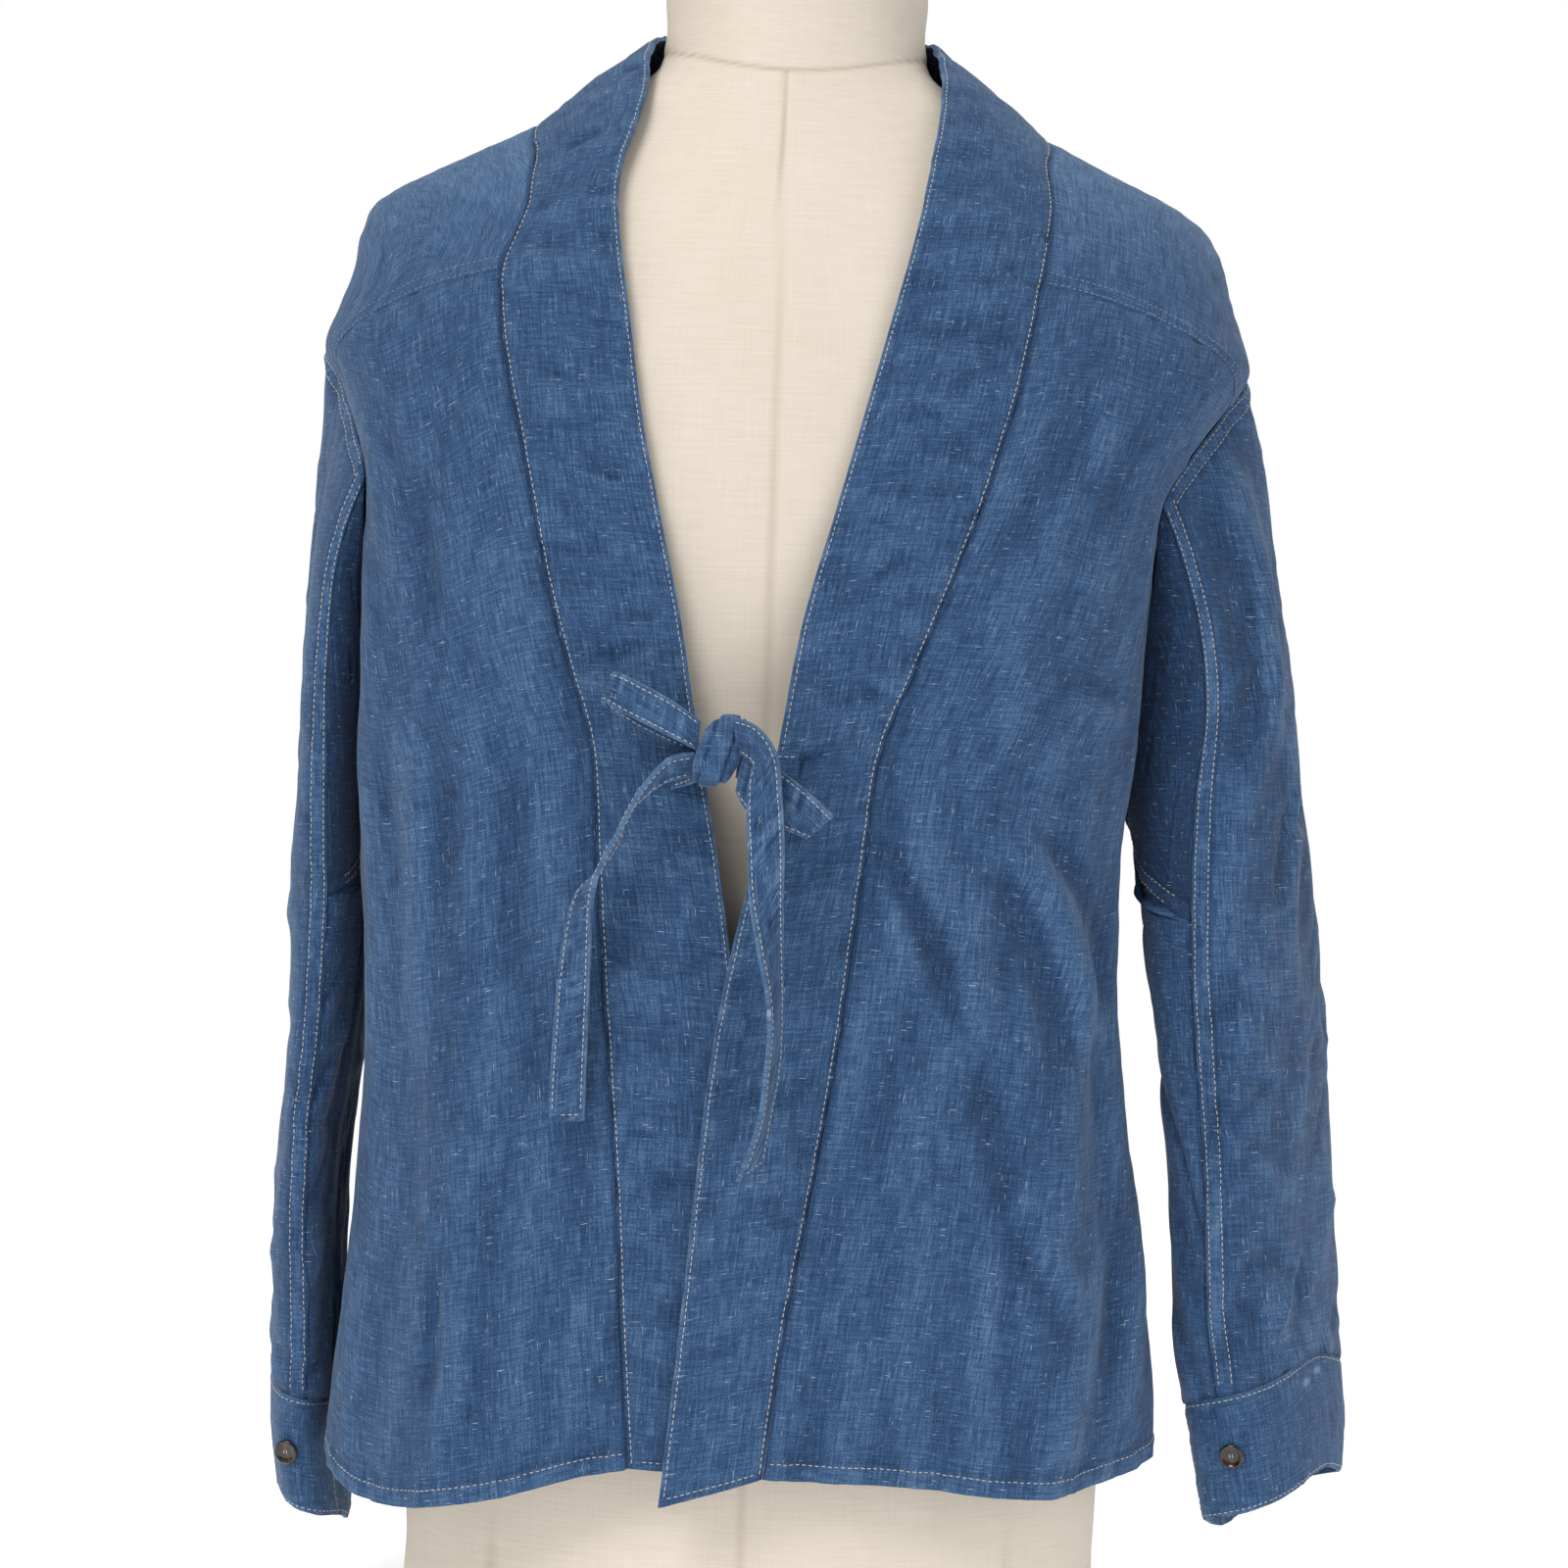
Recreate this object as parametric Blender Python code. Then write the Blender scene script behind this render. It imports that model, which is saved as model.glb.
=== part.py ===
"""A noragi jacket of blue chambray on a limbless dress form.

Metres, +Z up. The form stands on z = 0, the front faces -Y, and the wearer's left is +X.
Angles on the body run from 0 at the centre front to 90 at the side and 180 at the centre back.
"""
import math

import bmesh
import bpy
import numpy as np

# Cloth and gaps
CLOTH = 0.0013
BAND_CLOTH = 0.0022
CUFF_CLOTH = 0.0018
TIE_CLOTH = 0.0020
SEAM_GAP = 0.0004
GUSSET_BACK_GAP = 0.0008

# Heights above the table
UNDERARM_HEIGHT = 0.410
ARMHOLE_CORNER_HEIGHT = 0.603
ARMHOLE_CORNER_ANGLE = 81.0

# Sleeves and cuffs
CUFF_HEIGHT = 0.056
GUSSET_TIP_SHARE = 0.457
GUSSET_TIP_HEIGHT = 0.355
GUSSET_TIP_RISE = 0.045
SLEEVE_SEAM_ANGLE = {"left": 80.0, "right": 100.0}
CUFF_OVERLAP_ANGLE = 46.0
CUFF_OVERLAP_STEP = 0.0026
CUFF_PASS_ANGLE = 30.0
BUTTON_RADIUS = 0.0060
BUTTON_THICKNESS = 0.0026
BUTTON_COLUMN = 2

# Steps of the grids
COLLAR_STEPS = (3, 3, 3, 2, 2, 2)
FRONT_STEPS = 2
FRONT_COLUMNS = 8
BAND_COLUMNS = 3
FORM_COLUMNS = 36
SLEEVE_ROWS = 12
GUSSET_ROWS = 6
CUFF_COLUMNS = 30
CUFF_ROWS = 2

# The form, ring by ring: height, half width, front depth, back depth, squareness in plan
FORM_SECTIONS = (
    (0.000, 0.1640, 0.1080, 0.1120, 2.4),
    (0.004, 0.1660, 0.1095, 0.1140, 2.4),
    (0.045, 0.1690, 0.1100, 0.1170, 2.4),
    (0.100, 0.1700, 0.1100, 0.1200, 2.4),
    (0.165, 0.1655, 0.1080, 0.1175, 2.4),
    (0.230, 0.1530, 0.1040, 0.1060, 2.3),
    (0.295, 0.1430, 0.1010, 0.0945, 2.3),
    (0.360, 0.1420, 0.1020, 0.0905, 2.3),
    (0.430, 0.1510, 0.1070, 0.0960, 2.3),
    (0.500, 0.1630, 0.1120, 0.1030, 2.4),
    (0.560, 0.1740, 0.1130, 0.1065, 2.5),
    (0.610, 0.1850, 0.1090, 0.1060, 2.4),
    (0.645, 0.1950, 0.1020, 0.1010, 2.2),
    (0.675, 0.1990, 0.0915, 0.0920, 2.1),
    (0.695, 0.1935, 0.0820, 0.0850, 2.1),
    (0.704, 0.1800, 0.0775, 0.0810, 2.1),
    (0.715, 0.1612, 0.0715, 0.0760, 2.1),
    (0.727, 0.1360, 0.0660, 0.0710, 2.1),
    (0.740, 0.1095, 0.0620, 0.0660, 2.1),
    (0.752, 0.0860, 0.0595, 0.0620, 2.0),
    (0.764, 0.0695, 0.0580, 0.0590, 2.0),
    (0.780, 0.0645, 0.0575, 0.0575, 2.0),
    (0.812, 0.0635, 0.0570, 0.0570, 2.0),
    (0.819, 0.0605, 0.0540, 0.0540, 2.0),
    (0.823, 0.0500, 0.0440, 0.0440, 2.0),
)

# The jacket's body, ring by ring: height, half width at the wearer's right and left,
# front depth, back depth, squareness in plan
BODY_SECTIONS = (
    (0.070, 0.2000, 0.1900, 0.1330, 0.1340, 3.6),
    (0.165, 0.1935, 0.1850, 0.1305, 0.1300, 3.5),
    (0.220, 0.1885, 0.1780, 0.1290, 0.1250, 3.4),
    (0.280, 0.1875, 0.1695, 0.1280, 0.1190, 3.3),
    (0.335, 0.1905, 0.1650, 0.1270, 0.1140, 3.2),
    (0.390, 0.1945, 0.1665, 0.1265, 0.1120, 3.2),
    (0.450, 0.1970, 0.1735, 0.1260, 0.1120, 3.2),
    (0.510, 0.1995, 0.1805, 0.1250, 0.1130, 3.2),
    (0.553, 0.2035, 0.1875, 0.1240, 0.1140, 3.2),
    (0.577, 0.2085, 0.1995, 0.1220, 0.1150, 3.1),
    (0.600, 0.2160, 0.2150, 0.1200, 0.1150, 2.9),
    (0.622, 0.2262, 0.2280, 0.1165, 0.1130, 2.6),
    (0.642, 0.2205, 0.2235, 0.1120, 0.1100, 2.4),
    (0.661, 0.2145, 0.2180, 0.1060, 0.1060, 2.3),
    (0.680, 0.2115, 0.2130, 0.0975, 0.0995, 2.2),
    (0.697, 0.2025, 0.2010, 0.0880, 0.0920, 2.1),
    (0.706, 0.1870, 0.1865, 0.0825, 0.0870, 2.1),
    (0.717, 0.1645, 0.1635, 0.0755, 0.0815, 2.1),
    (0.729, 0.1400, 0.1395, 0.0695, 0.0760, 2.1),
    (0.742, 0.1135, 0.1135, 0.0650, 0.0705, 2.1),
    (0.756, 0.0900, 0.0900, 0.0630, 0.0680, 2.1),
)

# Height of the hem's edge by angle, the wearer's right below 0
HEM_LINE = (
    (-180, 0.0920),
    (-120, 0.0950),
    (-90, 0.1020),
    (-78, 0.0920),
    (-64, 0.0760),
    (-45, 0.0830),
    (-30, 0.0975),
    (-20, 0.1020),
    (0, 0.0990),
    (30, 0.0965),
    (45, 0.0920),
    (62, 0.0960),
    (75, 0.1030),
    (90, 0.1070),
    (120, 0.0990),
    (180, 0.0920),
)

# The largest folds of the body: angle at the hem, angle at the top, low end, high end,
# width in degrees, depth outward
BODY_FOLDS = (
    (-74, -71, 0.085, 0.66, 7.0, 0.0075),
    (-47, -54, 0.085, 0.42, 7.0, 0.0040),
    (-60, -62, 0.085, 0.36, 6.0, -0.0040),
    (47, 60, 0.085, 0.44, 6.0, 0.0045),
    (58, 66, 0.085, 0.36, 5.0, -0.0045),
    (72, 71, 0.085, 0.60, 6.0, 0.0060),
    (34, 44, 0.085, 0.34, 6.0, -0.0030),
    (118, 112, 0.085, 0.45, 8.0, 0.0040),
    (135, 128, 0.085, 0.40, 8.0, -0.0040),
    (152, 146, 0.085, 0.46, 8.0, 0.0060),
    (172, 170, 0.085, 0.36, 8.0, -0.0040),
    (190, 194, 0.085, 0.44, 8.0, 0.0055),
    (212, 214, 0.085, 0.38, 8.0, -0.0045),
    (232, 238, 0.085, 0.46, 8.0, 0.0045),
)

FOLD_FADE_SHARE = 0.45

# The armhole's front edge from the underarm up to the yoke: angle, height
ARMHOLE_EDGE = (
    (90.0, UNDERARM_HEIGHT),
    (84.0, 0.450),
    (77.5, 0.503),
    (72.0, 0.553),
    (76.5, 0.579),
    (ARMHOLE_CORNER_ANGLE, ARMHOLE_CORNER_HEIGHT),
)
GUSSET_CORNER_ROW = 3

# The armhole's top, in the yoke, from the back corner to the front corner: angle, height
ARMHOLE_TOP = (
    (180.0 - ARMHOLE_CORNER_ANGLE, ARMHOLE_CORNER_HEIGHT),
    (93.0, 0.6205),
    (87.0, 0.6205),
    (ARMHOLE_CORNER_ANGLE, ARMHOLE_CORNER_HEIGHT),
)

# The yoke's back seam from the centre back to the armhole: angle, height
BACK_YOKE_SEAM = (
    (180.0, 0.620),
    (155.0, 0.620),
    (128.0, 0.615),
    (180.0 - ARMHOLE_CORNER_ANGLE, ARMHOLE_CORNER_HEIGHT),
)
FRONT_YOKE_BOW = 0.010
YOKE_BOW_FADE = 1.5

# The collar band from the centre back to the chest: inner edge x, y, z, seam angle, seam height
COLLAR_SECTIONS = (
    (0.0000, 0.0665, 0.7930, 180.0, 0.7440),
    (0.0345, 0.0590, 0.7930, 150.0, 0.7450),
    (0.0585, 0.0335, 0.7900, 119.0, 0.7440),
    (0.0680, -0.0010, 0.7840, 90.0, 0.7410),
    (0.0715, -0.0330, 0.7680, 68.0, 0.7180),
    (0.0715, -0.0600, 0.7420, 57.5, 0.6860),
)

# The band down each front: inner edge x, y, z, seam x, seam height
LEFT_BAND_SECTIONS = (
    (0.0660, -0.0850, 0.7080, 0.1185, 0.6510),
    (0.0590, -0.0990, 0.6720, 0.1120, 0.6170),
    (0.0485, -0.1110, 0.6300, 0.1030, 0.5800),
    (0.0370, -0.1175, 0.5850, 0.0915, 0.5410),
    (0.0255, -0.1205, 0.5410, 0.0775, 0.5030),
    (0.0120, -0.1265, 0.4890, 0.0640, 0.4680),
    (0.0025, -0.1325, 0.4300, 0.0495, 0.4300),
    (-0.0060, -0.1340, 0.3820, 0.0440, 0.3850),
    (-0.0165, -0.1345, 0.3330, 0.0385, 0.3350),
    (-0.0240, -0.1350, 0.2840, 0.0325, 0.2840),
    (-0.0290, -0.1355, 0.2280, 0.0240, 0.2280),
    (-0.0340, -0.1370, 0.1650, 0.0135, 0.1650),
    (-0.0408, -0.1390, 0.0860, 0.0056, 0.0990),
)
RIGHT_BAND_SECTIONS = (
    (-0.0805, -0.0830, 0.7030, -0.1338, 0.6510),
    (-0.0795, -0.0960, 0.6720, -0.1310, 0.6180),
    (-0.0730, -0.1080, 0.6320, -0.1235, 0.5830),
    (-0.0655, -0.1150, 0.5850, -0.1150, 0.5450),
    (-0.0560, -0.1185, 0.5410, -0.1070, 0.5080),
    (-0.0445, -0.1220, 0.4910, -0.0955, 0.4680),
    (-0.0335, -0.1260, 0.4300, -0.0835, 0.4300),
    (-0.0240, -0.1275, 0.3820, -0.0795, 0.3850),
    (-0.0160, -0.1285, 0.3330, -0.0755, 0.3350),
    (-0.0095, -0.1290, 0.2840, -0.0708, 0.2840),
    (-0.0085, -0.1285, 0.2280, -0.0655, 0.2280),
    (-0.0115, -0.1290, 0.1650, -0.0610, 0.1650),
    (-0.0140, -0.1300, 0.1000, -0.0556, 0.1020),
)
BAND_CROWN = 0.0012

# Each sleeve as a hanging tube: height, axis x, axis y, half length and half width of
# its flattened ring, turn towards the front in degrees
LEFT_SLEEVE_SECTIONS = (
    (0.060, 0.2565, -0.012, 0.0560, 0.0255, 30),
    (0.100, 0.2540, -0.010, 0.0595, 0.0295, 32),
    (0.150, 0.2480, -0.008, 0.0640, 0.0300, 33),
    (0.230, 0.2430, -0.004, 0.0650, 0.0285, 33),
    (0.290, 0.2370, 0.000, 0.0650, 0.0320, 32),
    (0.350, 0.2295, 0.002, 0.0650, 0.0360, 29),
    (0.410, 0.2230, 0.003, 0.0635, 0.0390, 22),
    (0.460, 0.2200, 0.003, 0.0615, 0.0378, 15),
    (0.530, 0.2125, 0.003, 0.0620, 0.0358, 10),
    (0.580, 0.2035, 0.002, 0.0640, 0.0358, 6),
    (0.630, 0.1940, 0.002, 0.0650, 0.0340, 2),
)
RIGHT_SLEEVE_SECTIONS = (
    (0.050, 0.2155, 0.006, 0.0560, 0.0160, 4),
    (0.090, 0.2220, 0.008, 0.0600, 0.0165, 4),
    (0.140, 0.2225, 0.010, 0.0700, 0.0165, 3),
    (0.180, 0.2235, 0.012, 0.0720, 0.0155, 2),
    (0.240, 0.2215, 0.014, 0.0720, 0.0145, 0),
    (0.290, 0.2175, 0.014, 0.0720, 0.0160, 0),
    (0.350, 0.2160, 0.012, 0.0720, 0.0182, 0),
    (0.410, 0.2163, 0.010, 0.0720, 0.0168, 0),
    (0.470, 0.2160, 0.008, 0.0710, 0.0160, 0),
    (0.530, 0.2170, 0.006, 0.0700, 0.0162, 0),
    (0.580, 0.2090, 0.004, 0.0690, 0.0208, 0),
    (0.630, 0.1950, 0.004, 0.0660, 0.0320, 0),
)
SLEEVE_SQUARENESS = 2.4
SLEEVE_FLATNESS = 0.42
OUTER_BLEND_SHARE = 0.55
UNDERARM_BLEND_SHARE = 0.24
SLEEVE_CLEARANCE = 0.0015
SLEEVE_TURN_DELAY = 1.5

# The cuff seam of each sleeve: height at the axis, and how much higher its outer side is
CUFF_SEAM = {"left": (0.128, 0.034), "right": (0.114, 0.030)}
PLACKET_ANGLE = {"left": 110.0, "right": 112.0}

# The ties, section by section: one edge x, y, z and the other edge x, y, z
RIGHT_LOOP = (
    (-0.0325, -0.1500, 0.4420, -0.0345, -0.1480, 0.4290),
    (-0.0460, -0.1530, 0.4510, -0.0490, -0.1510, 0.4360),
    (-0.0620, -0.1535, 0.4590, -0.0670, -0.1515, 0.4445),
    (-0.0700, -0.1510, 0.4625, -0.0755, -0.1490, 0.4490),
    (-0.0720, -0.1470, 0.4620, -0.0765, -0.1440, 0.4480),
    (-0.0690, -0.1430, 0.4590, -0.0725, -0.1400, 0.4450),
    (-0.0560, -0.1405, 0.4510, -0.0590, -0.1385, 0.4370),
    (-0.0330, -0.1420, 0.4400, -0.0350, -0.1400, 0.4270),
)
LEFT_LOOP = (
    (-0.0128, -0.1515, 0.4300, -0.0157, -0.1500, 0.4110),
    (-0.0010, -0.1545, 0.4240, -0.0100, -0.1520, 0.4020),
    (0.0130, -0.1560, 0.4145, 0.0030, -0.1530, 0.3960),
    (0.0245, -0.1535, 0.4045, 0.0140, -0.1505, 0.3920),
    (0.0275, -0.1485, 0.4020, 0.0160, -0.1460, 0.3915),
    (0.0240, -0.1440, 0.4060, 0.0130, -0.1420, 0.3940),
    (0.0110, -0.1420, 0.4150, 0.0010, -0.1410, 0.4000),
    (-0.0122, -0.1468, 0.4280, -0.0148, -0.1455, 0.4120),
)
RIGHT_TAIL = (
    (-0.0350, -0.1500, 0.4275, -0.0367, -0.1430, 0.4175),
    (-0.0470, -0.1520, 0.4240, -0.0500, -0.1425, 0.4130),
    (-0.0585, -0.1500, 0.4100, -0.0640, -0.1415, 0.4000),
    (-0.0665, -0.1490, 0.3940, -0.0700, -0.1400, 0.3840),
    (-0.0745, -0.1510, 0.3780, -0.0785, -0.1385, 0.3710),
    (-0.0785, -0.1480, 0.3610, -0.0880, -0.1390, 0.3590),
    (-0.0792, -0.1420, 0.3320, -0.0932, -0.1370, 0.3310),
    (-0.0795, -0.1400, 0.3000, -0.0950, -0.1365, 0.3000),
    (-0.0798, -0.1390, 0.2800, -0.0960, -0.1365, 0.2800),
    (-0.0798, -0.1390, 0.2600, -0.0962, -0.1370, 0.2590),
)
LEFT_TAIL = (
    (-0.0180, -0.1575, 0.4440, -0.0140, -0.1567, 0.4280),
    (-0.0070, -0.1640, 0.4400, -0.0080, -0.1640, 0.4230),
    (0.0020, -0.1680, 0.4280, -0.0100, -0.1620, 0.4160),
    (0.0050, -0.1660, 0.4080, -0.0105, -0.1610, 0.4030),
    (0.0068, -0.1610, 0.3850, -0.0095, -0.1590, 0.3830),
    (0.0070, -0.1550, 0.3630, -0.0082, -0.1590, 0.3630),
    (0.0070, -0.1500, 0.3400, -0.0035, -0.1620, 0.3400),
    (0.0074, -0.1470, 0.3140, 0.0022, -0.1625, 0.3140),
    (0.0074, -0.1465, 0.2900, 0.0016, -0.1620, 0.2900),
    (0.0036, -0.1450, 0.2640, -0.0010, -0.1605, 0.2640),
    (0.0010, -0.1460, 0.2430, -0.0095, -0.1580, 0.2370),
)
RIGHT_STEM = (
    (-0.0460, -0.1280, 0.4270, -0.0455, -0.1280, 0.4110),
    (-0.0400, -0.1310, 0.4280, -0.0400, -0.1310, 0.4125),
    (-0.0320, -0.1405, 0.4270, -0.0342, -0.1405, 0.4150),
)
LEFT_STEM = (
    (0.0120, -0.1337, 0.4290, 0.0120, -0.1337, 0.4130),
    (0.0010, -0.1352, 0.4290, 0.0010, -0.1352, 0.4130),
    (-0.0080, -0.1385, 0.4290, -0.0095, -0.1385, 0.4150),
    (-0.0140, -0.1420, 0.4290, -0.0160, -0.1420, 0.4170),
)
TIE_STEPS = 2

# The knot: centre, half sizes and lean
KNOT_CENTRE = (-0.0235, -0.1480, 0.4290)
KNOT_HALF_SIZE = (0.0105, 0.0090, 0.0165)
KNOT_LEAN = 0.30

BLUE = (0.060, 0.115, 0.290, 1.0)
DEEP_BLUE = (0.045, 0.090, 0.240, 1.0)
LINEN = (0.780, 0.700, 0.580, 1.0)
HORN = (0.020, 0.014, 0.012, 1.0)


def clear_scene():
    """Start from an empty scene."""
    for item in list(bpy.data.objects):
        bpy.data.objects.remove(item, do_unlink=True)


def make_material(name, colour, roughness):
    """A plain surface of one colour."""
    material = bpy.data.materials.new(name)
    material.use_nodes = True
    shader = material.node_tree.nodes["Principled BSDF"]
    shader.inputs["Base Color"].default_value = colour
    shader.inputs["Roughness"].default_value = roughness
    shader.inputs["Metallic"].default_value = 0.0
    return material


def hermite(low, high, low_slope, high_slope, share):
    """Cubic between two values or points with the given slopes."""
    square = share * share
    cube = square * share
    return ((2 * cube - 3 * square + 1) * low + (cube - 2 * square + share) * low_slope
            + (3 * square - 2 * cube) * high + (cube - square) * high_slope)


def read_rows(rows, places):
    """Points on a smooth line through the rows, at places counted in rows."""
    rows = np.asarray(rows, dtype=float)
    places = np.asarray(places, dtype=float)
    last = len(rows) - 1
    start = np.clip(np.floor(places).astype(int), 0, last - 1)
    share = (places - start)[..., None]
    before = rows[np.maximum(start - 1, 0)]
    low = rows[start]
    high = rows[start + 1]
    after = rows[np.minimum(start + 2, last)]
    return hermite(low, high, (high - before) / 2, (after - low) / 2, share)


def read_table(table, column, where):
    """One column of a table read smoothly at values of its first column."""
    table = np.asarray(table, dtype=float)
    knots = table[:, 0]
    values = table[:, column]
    slopes = np.gradient(values, knots)
    start = np.clip(np.searchsorted(knots, where) - 1, 0, len(knots) - 2)
    span = knots[start + 1] - knots[start]
    share = np.clip((where - knots[start]) / span, 0.0, 1.0)
    return hermite(values[start], values[start + 1], slopes[start] * span, slopes[start + 1] * span, share)


def ring_radius(angle, width, front, back, squareness):
    """Distance from the axis to a ring that is a superellipse in plan."""
    sine = np.abs(np.sin(angle))
    cosine = np.cos(angle)
    depth = np.where(cosine > 0, front, back)
    return ((sine / width) ** squareness + (np.abs(cosine) / depth) ** squareness) ** (-1 / squareness)


def around(angle, radius, height):
    """Points at an angle from the centre front, in radians, about the upright axis."""
    return np.stack([radius * np.sin(angle), -radius * np.cos(angle), height], axis=-1)


def fold_relief(angle_degrees, height):
    """How far the largest folds push the body's cloth out."""
    turned = np.mod(angle_degrees + 110.0, 360.0) - 110.0
    relief = np.zeros(np.broadcast(turned, height).shape)
    for hem_angle, top_angle, low, high, width, depth in BODY_FOLDS:
        share = np.clip((height - low) / (high - low), 0.0, 1.0)
        centre = hem_angle + (top_angle - hem_angle) * share
        fade = np.clip((1 - share) / FOLD_FADE_SHARE, 0.0, 1.0)
        fade = fade * fade * (3 - 2 * fade)
        relief = relief + depth * np.exp(-((turned - centre) / width) ** 2) * fade
    return relief


def body_point(angle_degrees, height):
    """A point of the jacket's body."""
    angle_degrees = np.asarray(angle_degrees, dtype=float)
    height = np.asarray(height, dtype=float)
    angle = np.radians(angle_degrees)
    right = read_table(BODY_SECTIONS, 1, height)
    left = read_table(BODY_SECTIONS, 2, height)
    width = np.where(np.sin(angle) < 0, right, left)
    front = read_table(BODY_SECTIONS, 3, height)
    back = read_table(BODY_SECTIONS, 4, height)
    squareness = read_table(BODY_SECTIONS, 5, height)
    radius = ring_radius(angle, width, front, back, squareness) + fold_relief(angle_degrees, height)
    return around(angle, radius, height)


def body_normal(angle_degrees, height):
    """The outward direction of the jacket's body."""
    along = body_point(angle_degrees + 1.0, height) - body_point(angle_degrees - 1.0, height)
    up = body_point(angle_degrees, height + 0.003) - body_point(angle_degrees, height - 0.003)
    normal = np.cross(along, up)
    return normal / np.linalg.norm(normal, axis=-1, keepdims=True)


def angle_on_front(across, height):
    """Angle of the body's front at a distance across, found by halving."""
    low, high = 0.0, 90.0
    side = math.copysign(1.0, across)
    for _ in range(40):
        middle = (low + high) / 2
        if abs(body_point(side * middle, height)[0]) < abs(across):
            low = middle
        else:
            high = middle
    return side * (low + high) / 2


def hem_height(angle_degrees):
    """Height of the hem's edge at an angle."""
    turned = np.mod(np.asarray(angle_degrees, dtype=float) + 180.0, 360.0) - 180.0
    return read_table(HEM_LINE, 1, turned)


def collar_places():
    """Places along the band from the centre back to the yoke's front corner, in rows."""
    places = [0.0]
    for row, steps in enumerate(COLLAR_STEPS):
        places += [row + (step + 1) / steps for step in range(steps)]
    return np.array(places)


def front_places():
    """Places along the band from the yoke's front corner to the hem, in rows."""
    first = len(COLLAR_SECTIONS)
    count = len(LEFT_BAND_SECTIONS) - 1
    return first + np.arange(count * FRONT_STEPS + 1) / FRONT_STEPS


def band_rows(side):
    """Rows of one band: inner edge x, y, z and the seam's angle and height."""
    sign = 1.0 if side == "left" else -1.0
    sections = LEFT_BAND_SECTIONS if side == "left" else RIGHT_BAND_SECTIONS
    rows = [(sign * x, y, z, sign * angle, height) for x, y, z, angle, height in COLLAR_SECTIONS]
    rows += [(x, y, z, angle_on_front(across, height), height) for x, y, z, across, height in sections]
    return rows


def band_seam(side, places):
    """Angle and height of the seam between the band and the body."""
    return read_rows([row[3:] for row in band_rows(side)], places)


def side_boundary():
    """Angle and height up the armhole's edge, and how many rows the side seam takes below it."""
    armhole = read_rows(ARMHOLE_EDGE, np.arange((len(ARMHOLE_EDGE) - 1) * FRONT_STEPS + 1) / FRONT_STEPS)
    seam_rows = len(front_places()) - len(armhole)
    return armhole, seam_rows


def side_line(side, behind=False):
    """Angle and height of the panel's side edge, one row for each row of the band."""
    sign = 1.0 if side == "left" else -1.0
    armhole, seam_rows = side_boundary()
    hem = float(hem_height(sign * 90.0))
    heights = hem + (UNDERARM_HEIGHT - hem) * np.arange(seam_rows) / seam_rows
    seam = np.stack([np.full(seam_rows, 90.0), heights], axis=-1)
    line = np.concatenate([seam, armhole])
    if behind:
        line[:, 0] = 180.0 - line[:, 0]
    line[:, 0] *= sign
    return line


def yoke_front_seam(side):
    """Angle and height of the yoke's front seam, from the band to the armhole."""
    sign = 1.0 if side == "left" else -1.0
    start = band_seam(side, np.array([float(len(COLLAR_SECTIONS))]))[0]
    end = np.array([sign * ARMHOLE_CORNER_ANGLE, ARMHOLE_CORNER_HEIGHT])
    share = np.arange(FRONT_COLUMNS + 1)[:, None] / FRONT_COLUMNS
    line = start + (end - start) * share
    line[:, 1] += FRONT_YOKE_BOW * np.sin(math.pi * share[:, 0])
    return line


def fill_between(left, right, bottom, top):
    """Angles and heights over a four-sided panel from its four edges."""
    rows = len(left)
    columns = len(bottom)
    up = (np.arange(rows) / (rows - 1))[:, None, None]
    across = (np.arange(columns) / (columns - 1))[None, :, None]
    ruled = (1 - across) * left[:, None] + across * right[:, None]
    ruled = ruled + (1 - up) * bottom[None] + up * top[None]
    corners = (1 - up) * ((1 - across) * left[0] + across * right[0])
    corners = corners + up * ((1 - across) * left[-1] + across * right[-1])
    return ruled - corners


def hem_edge(start_angle, end_angle, columns):
    """Angle and height along the hem."""
    angles = np.linspace(start_angle, end_angle, columns)
    return np.stack([angles, hem_height(angles)], axis=-1)


def front_grid(side):
    """Angles and heights of a front panel, rows from the hem up."""
    inner = band_seam(side, front_places())[::-1]
    outer = side_line(side)
    top = yoke_front_seam(side)
    bottom = hem_edge(inner[0, 0], outer[0, 0], FRONT_COLUMNS + 1)
    bottom[0] = inner[0]
    return fill_between(inner, outer, bottom, top)


def yoke_outer_edge(side):
    """Angle and height along the yoke's back seam and the top of the armhole."""
    sign = 1.0 if side == "left" else -1.0
    places = collar_places()
    split = len(BACK_YOKE_SEAM) - 1
    back = read_rows(BACK_YOKE_SEAM, places[places <= split])
    top = read_rows(ARMHOLE_TOP, places[places > split] - split)
    line = np.concatenate([back, top])
    line[:, 0] *= sign
    return line, len(back)


def yoke_grid():
    """Angles and heights of the yoke, from the right front seam round the back to the left."""
    halves = {}
    for side in ("left", "right"):
        inner = band_seam(side, collar_places())
        outer, _ = yoke_outer_edge(side)
        share = np.arange(FRONT_COLUMNS + 1)[None, :, None] / FRONT_COLUMNS
        grid = (1 - share) * inner[:, None] + share * outer[:, None]
        bow = FRONT_YOKE_BOW * np.sin(math.pi * share[0, :, 0])
        fade = np.clip(1 + (collar_places() - len(COLLAR_SECTIONS)) / YOKE_BOW_FADE, 0.0, 1.0)
        grid[:, :, 1] += fade[:, None] * bow[None]
        halves[side] = grid
    right = halves["right"].copy()
    right[:, :, 0] += 360.0
    return np.concatenate([halves["left"][::-1], right[1:]])


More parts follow.
